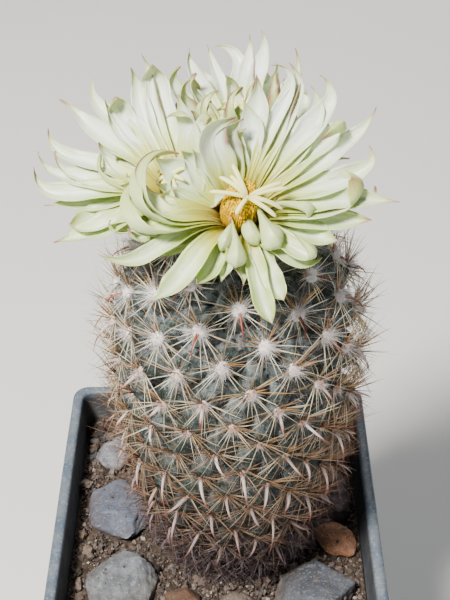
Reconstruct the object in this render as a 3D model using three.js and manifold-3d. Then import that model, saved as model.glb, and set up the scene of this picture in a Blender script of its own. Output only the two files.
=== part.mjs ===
// A small globular cactus in bloom, in a square plastic pot of coarse soil with loose stones.
// Millimetres, +Z up, the pot stands on z = 0 and the origin is the middle of its underside.
import * as THREE from 'three';
import { ConvexHull } from 'three/addons/math/ConvexHull.js';
import Module from 'manifold-3d';

const wasm = await Module();
wasm.setup();

// Driving dimensions of the pot
const POT_HEIGHT = 65;
const RIM_HALF = 35;
const RIM_CORNER = 3.6;
const BASE_HALF = 25;
const BASE_CORNER = 5;
const LIP_WIDTH = 2.5;
const COLLAR_HEIGHT = 11;
const WALL = 1.3;
const FLOOR = 1.6;
const DRAIN_RADIUS = 3;
const DRAIN_OFFSET = 15;

// Driving dimensions of the soil
const SOIL_LEVEL = 57;
const CLEARANCE = 0.3;
const SOIL_RELIEF = 0.55;
const SOIL_SIDES = 28;

// Driving dimensions of the cactus stem
const STEM_X = 3.7;
const STEM_HEIGHT = 85;
// Outline through the tubercle tips: height above the soil, radius
const STEM_OUTLINE = [
  [0, 15.5], [8, 18], [20, 20.5], [35, 22.4], [50, 23.4], [62, 23.4],
  [70, 21.5], [77, 17], [82, 11], [84.5, 5], [85, 0.01],
];
const TUBERCLE_AREA = 65;
const TUBERCLE_DEPTH = 3.6;
const FIRST_ANGLE = 279;
const GOLDEN_ANGLE = 137.508;
const YOUNG_TUBERCLES = 18;
// Neck below the lowest tubercles, where the skin meets the root
const NECK_RADIUS = 14.2;
const NECK_DEPTH = 2.2;
const NECK_SIDES = 16;
// Root and its hole in the soil: height from the soil surface, radius
const ROOT_OUTLINE = [[-52, 0.3], [-50, 1.2], [-34, 3], [-18, 6], [-8, 9.5], [-2, 13], [3, 13.5]];
const HOLE_OUTLINE = [
  [-52.6, 1], [-50, 1.8], [-34, 3.6], [-18, 6.6], [-8, 10.1],
  [-2.8, 13.5], [-2.6, 14.9], [0, 16.1], [4, 17.6], [9, 19.2],
];

// Driving dimensions of the spines
const RADIAL_LENGTH = 9;
const RADIAL_RISE = 22;
const CENTRAL_LENGTH = 10;
const CAP_SHARE = 0.19;
const SPINE_FOOT = 0.5;
const SPINE_WAIST = 0.6;
const SPINE_GAP = 0.12;
// Steeper rises and shorter lengths tried in turn until a spine is free
const SPINE_TRIES = [1, 0.85, 0.7].flatMap((share) => [0, 6, 12, -6, 18, 26].map((extra) => [extra, share]));
// Spines of the oldest areoles are shorter: height above the soil, share of the full length
const LOW_SPINES = [[0, 0.7], [12, 0.85], [25, 1], [70, 1], [80, 0.8], [85, 0.6]];

// Driving dimensions of the flowers
const THROAT_RADIUS = 3.55;
const TEPAL_ROOT = 2.2;
const TEPAL_WIDTH = 4;
const TEPAL_THICKNESS = 1.05;
const STAMEN_RADIUS = 2.9;
const STAMEN_HEIGHT = 6.5;
const STYLE_RADIUS = 0.75;
const STIGMA_LOBES = 8;
const TEPAL_RISE = 15;
const TEPAL_STEPS = 20;
// Steps that carry a cross-section, for a tepal that lies open and for one that curls in
const OPEN_RINGS = [0, 6, 12, 17, 20];
const CURLED_RINGS = [0, 5, 10, 14, 17, 20];
// Tepal outline: share of the length, share of the width
const TEPAL_SHAPE = [
  [0, 0.32], [0.2, 0.42], [0.4, 0.72], [0.6, 1], [0.76, 0.94], [0.88, 0.62], [0.96, 0.2], [1, 0.04],
];
// Turn, opening and length tried in turn until a tepal is clear of everything else
const BENDS = [1, 0.85, 0.7].flatMap((share) => [0, -7, 7, -14, 14, -22, 22, -30].flatMap((open) => (
  [0, 7, -7, 14, -14].map((turn) => [turn, open, share]))));

// Flowers: socket, axis, tube length, length of the stigma lobes and tepals. A tepal is azimuth, length,
// spread, curl, where the curl starts and how far its azimuth drifts on the way to the tip
const FLOWERS = [
  {
    name: 'front',
    base: new THREE.Vector3(4, -6, 139),
    axis: new THREE.Vector3(0, -0.5, 0.866),
    tube: 12,
    lobes: 5.6,
    tepals: [
      [-6, 24.5, 85, 5, 0.7], [4, 21, 84, 60, 0.7, 8], [19, 22, 80, 50, 0.7, 10], [32, 26, 78, 15, 0.7],
      [40, 23, 78, 150, 0.7, -10], [50, 26, 78, 35, 0.7, 10], [61, 27, 76, 25, 0.7, 14],
      [78, 22.5, 66, 25, 0.8], [112, 20, 44, 75, 0.5, -75], [92, 16.5, 38, 90, 0.5, -30],
      [132, 17.5, 50, 60, 0.5, -20], [166, 27, 56, 160, 0.5, -24], [157, 23, 50, 155, 0.5, -26],
      [166, 21, 78, 110, 0.42, -46], [-168, 15, 84, 75, 0.55, -24], [174, 14.5, 80, 120, 0.55, -15],
      [-166, 18, 90, 50, 0.6, -30], [-158, 12.5, 94, 25, 0.7], [-138, 19, 98, 5, 0.8],
      [-116, 10.5, 95, 20, 0.7, 6], [-112, 11.5, 80, 165, 0.35], [-95, 15.5, 84, 160, 0.38],
      [-78, 17.2, 98, 8, 0.8], [-66, 15.5, 97, 12, 0.8], [-72, 13.5, 74, 175, 0.3, 5],
      [-50, 15.5, 80, 165, 0.38, 6], [-45, 17, 90, 30, 0.6, 30], [-28, 18, 88, 150, 0.55],
      [-8, 18.5, 74, 180, 0.42], [-12, 20, 90, 12, 0.7],
    ],
  },
  {
    name: 'left',
    base: new THREE.Vector3(-2.8, -4, 139.6),
    axis: new THREE.Vector3(-0.25, -0.27, 0.92),
    tube: 9.5,
    lobes: 3.2,
    tepals: [
      [154, 27, 78, 40, 0.6, -26], [136, 29, 79, 15, 0.7, -6], [122, 27.2, 74, 15, 0.7, -8],
      [116, 20.5, 64, 30, 0.7], [106, 23.8, 65, 15, 0.7, -5], [98, 24.8, 65, 12, 0.7, -5],
      [166, 26, 84, 25, 0.7, -10], [164, 24.5, 79, 35, 0.7, -12], [180, 22, 86, 20, 0.7],
      [-160, 21, 90, 15, 0.7], [-148, 19, 90, 25, 0.7], [-158, 16, 94, 5, 0.7, 14],
      [-144, 10.5, 88, 95, 0.6, 10], [158, 10, 62, 60, 0.6], [152, 14, 74, 70, 0.5, -40],
      [54, 17.5, 34, 35, 0.6, -10], [44, 15.5, 38, 30, 0.6, -10], [68, 16.5, 38, 40, 0.6, 10],
      [28, 16, 42, 60, 0.6, -20],
    ],
  },
  {
    name: 'back',
    base: new THREE.Vector3(4.5, 6, 140),
    axis: new THREE.Vector3(0, 0.12, 0.99),
    tube: 11,
    lobes: 4.4,
    tepals: [
      [125, 19.5, 46, 20, 0.7, -8], [112, 18, 46, 35, 0.7], [84, 20, 36, 12, 0.7],
      [72, 21.5, 38, 15, 0.7], [96, 14, 30, 60, 0.6], [145, 16, 45, 60, 0.6], [58, 17, 56, 60, 0.6, 16],
      [42, 17, 60, 50, 0.6, 14], [14, 15.5, 58, 50, 0.6], [151, 18, 60, 40, 0.6],
      [171, 16, 45, 70, 0.6], [-150, 15, 28, 85, 0.5, 10], [-105, 17, 24, 90, 0.5, -40],
      [-70, 18, 24, 95, 0.5, -60], [-38, 19, 28, 90, 0.45, -70], [-14, 15, 42, 70, 0.5, -20],
      [105, 20, 78, 15, 0.7], [75, 20, 78, 15, 0.7],
    ],
  },
];

const STONE_CORNERS = 16;
// Loose stones: name, size, place from the soil surface, turn, tilt and colour
const STONES = [
  ['stone_light_grey', [10.5, 10.5, 5.5], [-24.3, 18.6, 0.6], 20, 8, 0x9a9ba3],
  ['stone_slate', [16, 21, 5.5], [-22.2, 1.8, 0.6], 25, -7, 0x747a8a],
  ['stone_grey_front', [18.5, 16, 7], [-20.4, -18, 0.6], -20, 6, 0x868a90],
  ['stone_brown_front', [10.5, 8.5, 5.5], [-7.6, -22.3, 0.5], 10, -6, 0x6f5240],
  ['stone_small_brown', [9.5, 6.8, 4.4], [4.6, -22.4, 0.4], -15, 5, 0x837468],
  ['stone_purple', [9, 12, 6], [26.8, 4.6, 0.6], -10, 8, 0x7c6c74],
  ['stone_orange_chip', [13.5, 8.5, 2.6], [25.7, -6.4, 1.3], -38, 6, 0xa5714f],
  ['stone_dark_front', [20, 16, 7.5], [20.6, -20.5, 0.6], 18, -5, 0x5f626c],
  ['stone_back_left', [9, 7, 5], [-8, 25, 0.4], 15, 6, 0x7a7d84],
  ['stone_back_right', [10, 8, 5], [15, 25, 0.4], -30, -6, 0x87796b],
];

const RAD = Math.PI / 180;
const vec = (x, y, z) => new THREE.Vector3(x, y, z);

/** Repeatable random numbers from 0 to 1. */
function seeded(seed) {
  let state = seed;
  return () => {
    state = (state + 0x6d2b79f5) | 0;
    let t = Math.imul(state ^ (state >>> 15), 1 | state);
    t = (t + Math.imul(t ^ (t >>> 7), 61 | t)) ^ t;
    return ((t ^ (t >>> 14)) >>> 0) / 4294967296;
  };
}

/** Value at x of a line through [x, value] rows in rising x. */
function alongLine(rows, x) {
  let k = 1;
  while (k < rows.length - 1 && rows[k][0] < x) {
    k += 1;
  }
  const [x0, y0] = rows[k - 1];
  const [x1, y1] = rows[k];
  const share = Math.min(1, Math.max(0, (x - x0) / (x1 - x0)));
  return y0 + (y1 - y0) * share;
}

/** Turns points and triangles into a closed body that can be joined and cut. */
function body(points, triangles) {
  const flat = new Float32Array(points.flatMap((p) => [p.x, p.y, p.z]));
  return new wasm.Manifold(new wasm.Mesh({
    numProp: 3,
    vertProperties: flat,
    triVerts: new Uint32Array(triangles.flat()),
  }));
}

/** Closed body through rings of points, each ring counter-clockwise seen from the last one. */
function loft(rings) {
  const count = rings[0].length;
  const points = rings.flat();
  const triangles = [];
  for (let k = 0; k < rings.length - 1; k += 1) {
    for (let i = 0; i < count; i += 1) {
      const j = (i + 1) % count;
      const a = k * count + i;
      const b = k * count + j;
      triangles.push([a, b, b + count], [a, b + count, a + count]);
    }
  }
  const top = (rings.length - 1) * count;
  for (let i = 1; i < count - 1; i += 1) {
    triangles.push([0, i + 1, i], [top, top + i, top + i + 1]);
  }
  return body(points, triangles);
}

/** Right-handed directions for an axis: e1 to the right, e2 up the back, a along it. */
function directions(axis) {
  const a = axis.clone().normalize();
  const e1 = vec(1, 0, 0).addScaledVector(a, -a.x).normalize();
  const e2 = a.clone().cross(e1);
  return { a, e1, e2 };
}

/** Body turned about an axis from rows of [distance along it, radius]. */
function turned(rows, sides, base, axis, ripple = () => 0) {
  const { a, e1, e2 } = directions(axis);
  const rings = rows.map(([s, r], k) => {
    const ring = [];
    for (let i = 0; i < sides; i += 1) {
      const t = (2 * Math.PI * i) / sides;
      const out = r + ripple(i, k);
      ring.push(base.clone().addScaledVector(a, s)
        .addScaledVector(e1, out * Math.cos(t)).addScaledVector(e2, out * Math.sin(t)));
    }
    return ring;
  });
  return loft(rings);
}

/** Square outline with rounded corners at one height. */
function roundedSquare(half, corner, z, steps = 3) {
  const ring = [];
  for (let q = 0; q < 4; q += 1) {
    const middle = (q + 0.5) * 90 * RAD;
    const cx = Math.sign(Math.cos(middle)) * (half - corner);
    const cy = Math.sign(Math.sin(middle)) * (half - corner);
    for (let i = 0; i <= steps; i += 1) {
      const t = (q + i / steps) * 90 * RAD;
      ring.push(vec(cx + corner * Math.cos(t), cy + corner * Math.sin(t), z));
    }
  }
  return ring;
}

/** Half width of the pot's inside at a height. */
function insideHalf(z) {
  const step = POT_HEIGHT - COLLAR_HEIGHT;
  return alongLine([
    [FLOOR, BASE_HALF - WALL], [step, 30.2], [step + 1.5, 31.6],
    [POT_HEIGHT - 2, RIM_HALF - LIP_WIDTH], [POT_HEIGHT, RIM_HALF - LIP_WIDTH],
  ], z);
}

/** Corner radius of the pot's inside at a height. */
function insideCorner(z) {
  return BASE_CORNER - WALL + (RIM_CORNER - 1.2 - BASE_CORNER + WALL) * (z / POT_HEIGHT);
}

function makePot() {
  const step = POT_HEIGHT - COLLAR_HEIGHT;
  const outside = [
    [0, BASE_HALF - 0.6, BASE_CORNER], [0.8, BASE_HALF, BASE_CORNER],
    [step, 31.5, 4], [step + 0.3, 33.1, 3.6], [POT_HEIGHT - 3, 34, 3.4],
    [POT_HEIGHT - 2.6, RIM_HALF - 0.1, RIM_CORNER], [POT_HEIGHT - 0.7, RIM_HALF, RIM_CORNER],
    [POT_HEIGHT - 0.2, RIM_HALF - 0.3, RIM_CORNER], [POT_HEIGHT, RIM_HALF - 0.8, RIM_CORNER - 0.4],
  ].map(([z, half, corner]) => roundedSquare(half, corner, z));
  const inside = [
    [FLOOR, insideHalf(FLOOR)], [step, insideHalf(step)], [step + 1.5, insideHalf(step + 1.5)],
    [POT_HEIGHT - 2, insideHalf(POT_HEIGHT)], [POT_HEIGHT - 0.6, insideHalf(POT_HEIGHT)],
    [POT_HEIGHT + 0.4, insideHalf(POT_HEIGHT) + 0.8],
  ].map(([z, half]) => roundedSquare(half, insideCorner(z), z));
  let pot = loft(outside).subtract(loft(inside));
  for (const [sx, sy] of [[1, 1], [-1, 1], [-1, -1], [1, -1]]) {
    const place = vec(sx * DRAIN_OFFSET, sy * DRAIN_OFFSET, -1);
    const drill = turned([[0, DRAIN_RADIUS], [FLOOR + 2, DRAIN_RADIUS]], 12, place, vec(0, 0, 1));
    pot = pot.subtract(drill);
  }
  return pot;
}

/** Height of the soil: low mounds, coarse lumps and a slight rise against the stem. */
function soilHeight(x, y) {
  const lumps = Math.sin(x * 0.93 + 1.3) * Math.cos(y * 1.07 - 0.4)
    + 0.6 * Math.sin(x * 1.9 - y * 1.3 + 2) + 0.5 * Math.cos(x * 0.31 - y * 0.27);
  const rise = Math.max(0, 1 - (Math.hypot(x - STEM_X, y) - 15) / 8);
  return SOIL_LEVEL + SOIL_RELIEF * lumps * 0.5 + 0.4 * rise;
}

function makeSoil(stemHole, stones) {
  const around = SOIL_SIDES;
  const rings = [];
  const edge = (z, inward, t) => {
    const half = insideHalf(z) - inward;
    const corner = insideCorner(z);
    const c = Math.cos(t);
    const s = Math.sin(t);
    const k = 1 / Math.max(Math.abs(c), Math.abs(s));
    const x = half * k * c;
    const y = half * k * s;
    const over = vec(Math.abs(x) - (half - corner), Math.abs(y) - (half - corner), 0);
    if (over.x <= 0 || over.y <= 0) {
      return vec(x, y, z);
    }
    const shrink = corner / Math.max(corner, over.length());
    return vec(Math.sign(x) * (half - corner + over.x * shrink),
      Math.sign(y) * (half - corner + over.y * shrink), z);
  };
  const level = (z, inward) => {
    const ring = [];
    for (let i = 0; i < around; i += 1) {
      ring.push(edge(z, inward, (2 * Math.PI * (i + 0.5)) / around));
    }
    return ring;
  };
  const step = POT_HEIGHT - COLLAR_HEIGHT;
  const bottom = FLOOR + CLEARANCE;
  rings.push(level(bottom, CLEARANCE), level(step, CLEARANCE), level(step + 1.5, CLEARANCE));
  const rim = level(SOIL_LEVEL - 0.2, CLEARANCE);
  rings.push(rim);
  for (const share of [0.9, 0.78, 0.66, 0.54, 0.42, 0.3]) {
    rings.push(rim.map((p, i) => {
      const turn = (i % 2 ? 0.3 : -0.3) * (1 - share);
      const x = STEM_X + (p.x - STEM_X) * share - turn * p.y * 0.1;
      const y = p.y * share + turn * p.x * 0.1;
      return vec(x, y, soilHeight(x, y));
    }));
  }
  let soil = loft(rings).subtract(stemHole);
  for (const pocket of stones) {
    soil = soil.subtract(pocket);
  }
  return soil;
}

/** Closed faceted lump: the hull of random points on a squashed ball. */
function lump(seed, size, place, turn, tilt, grow = 0) {
  const random = seeded(seed);
  const spin = new THREE.Euler(tilt * RAD, tilt * 0.6 * RAD, turn * RAD, 'ZYX');
  const raw = [];
  for (let i = 0; i < STONE_CORNERS; i += 1) {
    const h = 1 - (2 * (i + 0.5)) / STONE_CORNERS;
    const t = i * GOLDEN_ANGLE * RAD + random() * 0.5;
    const r = Math.sqrt(1 - h * h);
    const out = 0.8 + 0.32 * random();
    const flat = Math.max(-0.62, Math.min(0.62, h)) / 0.62;
    raw.push(vec(Math.cos(t) * r * out * (size[0] / 2 + grow), Math.sin(t) * r * out * (size[1] / 2 + grow),
      flat * out * (size[2] / 2 + grow)).applyEuler(spin).add(place));
  }
  return hullBody(raw);
}

/** Corner numbers of every triangle of the hull around the points. */
function hullTriangles(points) {
  const numbered = new Map(points.map((p, i) => [p, i]));
  return new ConvexHull().setFromPoints(points).faces.flatMap((face) => {
    const corners = [];
    let edge = face.edge;
    do {
      corners.push(numbered.get(edge.head().point));
      edge = edge.next;
    } while (edge !== face.edge);
    return corners.slice(2).map((_, k) => [corners[0], corners[k + 1], corners[k + 2]]);
  });
}

function hullBody(points) {
  const triangles = hullTriangles(points);
  const used = [...new Set(triangles.flat())];
  const renumber = new Map(used.map((n, i) => [n, i]));
  return body(used.map((n) => points[n]), triangles.map((t) => t.map((n) => renumber.get(n))));
}

/** Areoles of the stem in golden-angle order from the top, with outward and upward directions. */
function makeAreoles() {
  const slices = 850;
  const rows = [];
  let area = 0;
  let last = [STEM_HEIGHT, 0.01];
  for (let k = 1; k <= slices; k += 1) {
    const z = STEM_HEIGHT * (1 - k / slices);
    const r = alongLine(STEM_OUTLINE, z);
    area += Math.PI * (r + last[1]) * Math.hypot(r - last[1], z - last[0]);
    rows.push([area, z]);
    last = [z, r];
  }
  const whole = area;
  const areoles = [];
  let used = 0;
  for (let i = 0; ; i += 1) {
    const young = Math.min(1, 0.6 + (0.4 * i) / YOUNG_TUBERCLES);
    const cell = TUBERCLE_AREA * young * (1 - (0.4 * used) / whole);
    used += cell / 2;
    if (used > whole) {
      return areoles;
    }
    const z = alongLine(rows, used);
    const r = alongLine(STEM_OUTLINE, z);
    const slope = (alongLine(STEM_OUTLINE, z + 1.5) - alongLine(STEM_OUTLINE, z - 1.5))
      / (Math.min(STEM_HEIGHT, z + 1.5) - Math.max(0, z - 1.5));
    const t = (FIRST_ANGLE - GOLDEN_ANGLE * i) * RAD;
    const lean = Math.atan(-slope);
    const out = vec(Math.cos(t) * Math.cos(lean), Math.sin(t) * Math.cos(lean), Math.sin(lean));
    const up = vec(-Math.cos(t) * Math.sin(lean), -Math.sin(t) * Math.sin(lean), Math.cos(lean));
    const side = up.clone().cross(out);
    const tip = vec(STEM_X + r * Math.cos(t), r * Math.sin(t), SOIL_LEVEL + z);
    areoles.push({ tip, out, up, side, size: Math.sqrt(cell / TUBERCLE_AREA), z });
    used += cell / 2;
  }
}

/** Stem skin: every areole tops a blunt tubercle, with valleys sunk between neighbours. */
function makeSkin(areoles, spineFor) {
  const count = areoles.length;
  const all = areoles.map((a) => a.tip);
  for (let i = 0; i < NECK_SIDES; i += 1) {
    const t = (2 * Math.PI * i) / NECK_SIDES;
    all.push(vec(STEM_X + NECK_RADIUS * Math.cos(t), NECK_RADIUS * Math.sin(t), SOIL_LEVEL - NECK_DEPTH));
  }
  const isNeck = (n) => n >= count;
  const points = [];
  const faces = [];
  const put = (p) => points.push(p) - 1;
  const sunk = (numbers, share) => {
    const p = vec(0, 0, 0);
    numbers.forEach((n) => p.addScaledVector(all[n], 1 / numbers.length));
    const size = numbers.some(isNeck) ? 0.25 : Math.min(...numbers.map((n) => areoles[n].size));
    const heart = vec(STEM_X, 0, Math.min(p.z, SOIL_LEVEL + STEM_HEIGHT - 22));
    return p.addScaledVector(heart.sub(p).normalize(), share * TUBERCLE_DEPTH * size);
  };
  const saddles = new Map();
  const saddle = (a, b) => {
    const key = a < b ? `${a}_${b}` : `${b}_${a}`;
    if (!saddles.has(key)) {
      saddles.set(key, put(sunk([a, b], 0.85)));
    }
    return saddles.get(key);
  };
  const neckPoints = all.slice(count).map(put);
  const around = areoles.map(() => new Map());
  for (const corners of hullTriangles(all)) {
    if (corners.every(isNeck)) {
      faces.push(corners.map((n) => neckPoints[n - count]));
      continue;
    }
    const valley = sunk(corners, 1);
    const shoulders = corners.map((n, k) => {
      if (isNeck(n)) {
        return neckPoints[n - count];
      }
      const { tip, out, size } = areoles[n];
      const shoulder = put(tip.clone().lerp(valley, CAP_SHARE).addScaledVector(out, 0.4 * size));
      around[n].set(corners[(k + 1) % 3], { shoulder, previous: corners[(k + 2) % 3] });
      return shoulder;
    });
    const between = corners.map((n, k) => {
      const next = corners[(k + 1) % 3];
      return isNeck(n) && isNeck(next) ? null : saddle(n, next);
    });
    const hollow = [];
    corners.forEach((_, k) => {
      const [before, after] = [between[(k + 2) % 3], between[k]];
      const here = shoulders[k];
      if (before !== null && after !== null) {
        faces.push([here, after, before]);
        hollow.push(after);
      } else {
        hollow.push(...(after === null ? [here] : [here, after]));
      }
    });
    for (let k = 1; k < hollow.length - 1; k += 1) {
      faces.push([hollow[0], hollow[k], hollow[k + 1]]);
    }
  }
  around.forEach((ring, n) => {
    const order = [];
    const first = [...ring.keys()][0];
    let next = first;
    do {
      order.push(ring.get(next));
      next = ring.get(next).previous;
    } while (next !== first);
    const { tip, out, size } = areoles[n];
    const crown = put(tip.clone().addScaledVector(out, 0.55 * size));
    const caps = order.map((here, k) => {
      const after = order[(k + 1) % order.length];
      faces.push([here.shoulder, saddle(here.previous, n), after.shoulder]);
      return [crown, here.shoulder, after.shoulder];
    });
    const paths = spineFor(n, caps.map((cap) => middleOf(cap.map((i) => points[i]))));
    caps.forEach((cap, k) => faces.push(...growSpine(cap, paths[k], points)));
  });
  return body(points, faces);
}

function middleOf(corners) {
  return corners.reduce((sum, p) => sum.add(p), vec(0, 0, 0)).multiplyScalar(1 / corners.length);
}

/** Triangles of a spine that stands on one triangle of an areole and follows a path to its tip. */
function growSpine(foot, path, points) {
  if (!path) {
    return [foot];
  }
  const faces = [];
  const middle = middleOf(foot.map((i) => points[i]));
  let ring = foot;
  path.slice(1, -1).forEach((place) => {
    const upper = foot.map((i) => points.push(points[i].clone().sub(middle)
      .multiplyScalar(SPINE_WAIST).add(place)) - 1);
    ring.forEach((_, i) => {
      const j = (i + 1) % 3;
      faces.push([ring[i], ring[j], upper[j]], [ring[i], upper[j], upper[i]]);
    });
    ring = upper;
  });
  const tip = points.push(path.at(-1)) - 1;
  ring.forEach((_, i) => faces.push([ring[i], ring[(i + 1) % 3], tip]));
  return faces;
}

/** Three-sided needle along a path of [point, radius] rows that ends in a fine tip. */
function needle(path, grow = 0) {
  const rings = path.map(([p, r], k) => {
    const from = path[Math.max(0, k - 1)][0];
    const to = path[Math.min(path.length - 1, k + 1)][0];
    const d = to.clone().sub(from).normalize();
    const side = Math.abs(d.z) > 0.9 ? vec(1, 0, 0) : vec(0, 0, 1);
    const u = side.cross(d).normalize();
    const v = d.clone().cross(u);
    return [0, 1, 2].map((i) => p.clone()
      .addScaledVector(u, (r + grow) * Math.cos(i * 120 * RAD))
      .addScaledVector(v, (r + grow) * Math.sin(i * 120 * RAD)));
  });
  return loft(rings);
}

/** Shortest distance between two straight pieces, with how far along each it lies. */
function nearest([p, q], [u, v]) {
  const d1 = q.clone().sub(p);
  const d2 = v.clone().sub(u);
  const w = p.clone().sub(u);
  const [a, b, c, d, e] = [d1.dot(d1), d1.dot(d2), d2.dot(d2), d1.dot(w), d2.dot(w)];
  const limit = (x) => Math.min(1, Math.max(0, x));
  let s = limit((b * e - c * d) / Math.max(1e-9, a * c - b * b));
  const t = limit((b * s + e) / c);
  s = limit((b * t - d) / a);
  const gap = w.addScaledVector(d1, s).addScaledVector(d2, -t).length();
  return [gap, s, t];
}

/** True where a spine path stays off all the placed ones and off the tips of other tubercles. */
function isFree(path, owner, placed, areoles) {
  const wide = (s, k, n) => SPINE_FOOT * (1 - (k + s) / n) + 0.05;
  const pieces = (line) => line.slice(1).map((p, k) => [line[k], p]);
  const mine = pieces(path);
  const offTips = areoles.every(({ tip, out, size }, n) => {
    const crown = [tip, tip.clone().addScaledVector(out, 0.5)];
    return n === owner || tip.distanceTo(path[0]) > 22
      || mine.every((piece) => nearest(piece, crown)[0] > 1.7 * size);
  });
  return offTips && placed.every(({ number, line }) => number === owner || line[0].distanceTo(path[0]) > 22
    || pieces(line).every((other, j) => mine.every((piece, i) => {
      const [gap, s, t] = nearest(piece, other);
      return gap > wide(s, i, mine.length) + wide(t, j, line.length - 1) + SPINE_GAP;
    })));
}

/** Chooses the spines of every areole so that they touch neither each other nor another piece. */
function makeSpines(areoles, obstacles) {
  const placed = [];
  return (number, feet) => {
    const random = seeded(4000 + number);
    const { tip, out, up, side, z } = areoles[number];
    const low = alongLine(LOW_SPINES, z);
    const heading = (turn, rise) => side.clone().multiplyScalar(Math.cos(turn) * Math.cos(rise * RAD))
      .addScaledVector(up, Math.sin(turn) * Math.cos(rise * RAD))
      .addScaledVector(out, Math.sin(rise * RAD));
    const turns = feet.map((foot) => {
      const from = foot.clone().sub(tip);
      return Math.atan2(from.dot(up), from.dot(side));
    });
    const lowest = turns.indexOf(turns.reduce((best, t) => (
      Math.abs(t + Math.PI / 2) < Math.abs(best + Math.PI / 2) ? t : best)));
    return feet.map((foot, k) => {
      for (const [extra, share] of SPINE_TRIES) {
        const turn = turns[k] + 0.25 * (random() - 0.5);
        const length = share * low * (0.9 + 0.15 * random());
        const path = [foot];
        if (k === lowest) {
          path.push(foot.clone().addScaledVector(heading(turn, 46 + extra), 0.5 * CENTRAL_LENGTH * length));
          path.push(path[1].clone().addScaledVector(heading(turn, 6 + extra), 0.5 * CENTRAL_LENGTH * length));
        } else {
          path.push(foot.clone().addScaledVector(heading(turn, RADIAL_RISE + extra), RADIAL_LENGTH * length));
        }
        if (isFree(path, number, placed, areoles)
          && isClear(needle(path.map((p, i) => [p, i ? 0.2 : 0.5]), CLEARANCE), obstacles)) {
          placed.push({ number, line: path });
          return path;
        }
      }
      return null;
    });
  };
}

/** The stem with its root and spines. */
function makeStem(areoles, sockets, obstacles) {
  let stem = makeSkin(areoles, makeSpines(areoles, [...obstacles, ...sockets]));
  stem = stem.add(turned(ROOT_OUTLINE, 8, vec(STEM_X, 0, SOIL_LEVEL), vec(0, 0, 1)));
  for (const socket of sockets) {
    stem = stem.subtract(socket);
  }
  return stem;
}

/** True where a body touches none of the others. */
function isClear(shape, others) {
  return others.every((other) => shape.intersect(other).isEmpty());
}

/** Outside of a flower tube, from its socket in the stem to the throat. */
function tubeBody(flower, grow = 0) {
  const t = flower.tube;
  const rows = [[-2.5 - grow, 2], [1, 2.4], [t - 5, 2.9], [t - 2, 3.6], [t, 4.6]];
  return turned(rows.map(([s, r]) => [s, r + grow]), 12, flower.base, flower.axis);
}

/** Hollow of a flower tube, open at the throat. */
function tubeCup(flower) {
  const t = flower.tube;
  return turned([[t - 6, 2], [t - 4, 2.25], [t - 1.5, 3.05], [t, 3.75], [t + 1, 4.2]], 12,
    flower.base, flower.axis);
}

/** One tepal: a lens-shaped blade that leaves the throat, spreads and curls in at its tip. */
function tepal(flower, [azimuth, length, spread, hook, start, drift = 0], grow = 0) {
  const { a, e1, e2 } = directions(flower.axis);
  const outward = (turn) => e1.clone().multiplyScalar(Math.cos(turn * RAD))
    .addScaledVector(e2, Math.sin(turn * RAD));
  const p = flower.base.clone().addScaledVector(a, flower.tube - TEPAL_ROOT)
    .addScaledVector(outward(azimuth), THROAT_RADIUS);
  const rings = [];
  const kept = hook > 50 ? CURLED_RINGS : OPEN_RINGS;
  for (let k = 0; k <= TEPAL_STEPS; k += 1) {
    const s = k / TEPAL_STEPS;
    const q = THREE.MathUtils.smoothstep(s, 0, 0.4);
    const curl = s > start ? hook * ((s - start) / (1 - start)) ** 1.2 : 0;
    const phi = (TEPAL_RISE + (spread - TEPAL_RISE) * q - curl) * RAD;
    const rho = outward(azimuth + drift * s * s);
    const d = a.clone().multiplyScalar(Math.cos(phi)).addScaledVector(rho, Math.sin(phi));
    const normal = a.clone().multiplyScalar(Math.sin(phi)).addScaledVector(rho, -Math.cos(phi));
    const b = d.clone().cross(normal);
    if (k > 0) {
      p.addScaledVector(d, length / TEPAL_STEPS);
    }
    if (kept.includes(k)) {
      const w = (alongLine(TEPAL_SHAPE, s) * TEPAL_WIDTH) / 2 + grow;
      const t = TEPAL_THICKNESS / 2 * Math.min(1, 0.3 + 4 * (1 - s)) + grow;
      const cup = 0.22 * w;
      rings.push([p.clone().addScaledVector(normal, t - cup), p.clone().addScaledVector(b, w),
        p.clone().addScaledVector(normal, -t - cup), p.clone().addScaledVector(b, -w)]);
    }
  }
  return loft(rings);
}

/** Tube and tepals of one flower; a tepal that would touch something else is bent clear of it. */
function makePerianth(flower, keepOut) {
  let perianth = tubeBody(flower);
  for (const row of flower.tepals) {
    const clear = BENDS.map(([turn, open, share]) => [
      row[0] + turn, row[1] * share, row[2] + open, ...row.slice(3),
    ]).find((bent) => isClear(tepal(flower, bent, CLEARANCE), keepOut));
    if (clear) {
      perianth = perianth.add(tepal(flower, clear));
    }
  }
  return perianth.subtract(tubeCup(flower));
}

/** Dense egg of filaments and anthers around the style, ribbed and knobbly. */
function makeStamens(flower) {
  const t = flower.tube;
  const rows = [
    [t - 5.7, 1.7], [t - 3, 1.9], [t - 0.8, 2.2], [t + 0.8, STAMEN_RADIUS - 0.2],
    [t + 2.6, STAMEN_RADIUS], [t + 4.6, STAMEN_RADIUS - 0.3], [t + STAMEN_HEIGHT, 1.8],
  ];
  const ripple = (i, k) => (k > 2 ? (((i + k) % 2) - 0.5) * 0.42 : 0);
  const bore = turned([[t - 7, STYLE_RADIUS + CLEARANCE], [t + STAMEN_HEIGHT + 1, STYLE_RADIUS + CLEARANCE]],
    7, flower.base, flower.axis);
  return turned(rows, 14, flower.base, flower.axis, ripple).subtract(bore);
}

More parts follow.
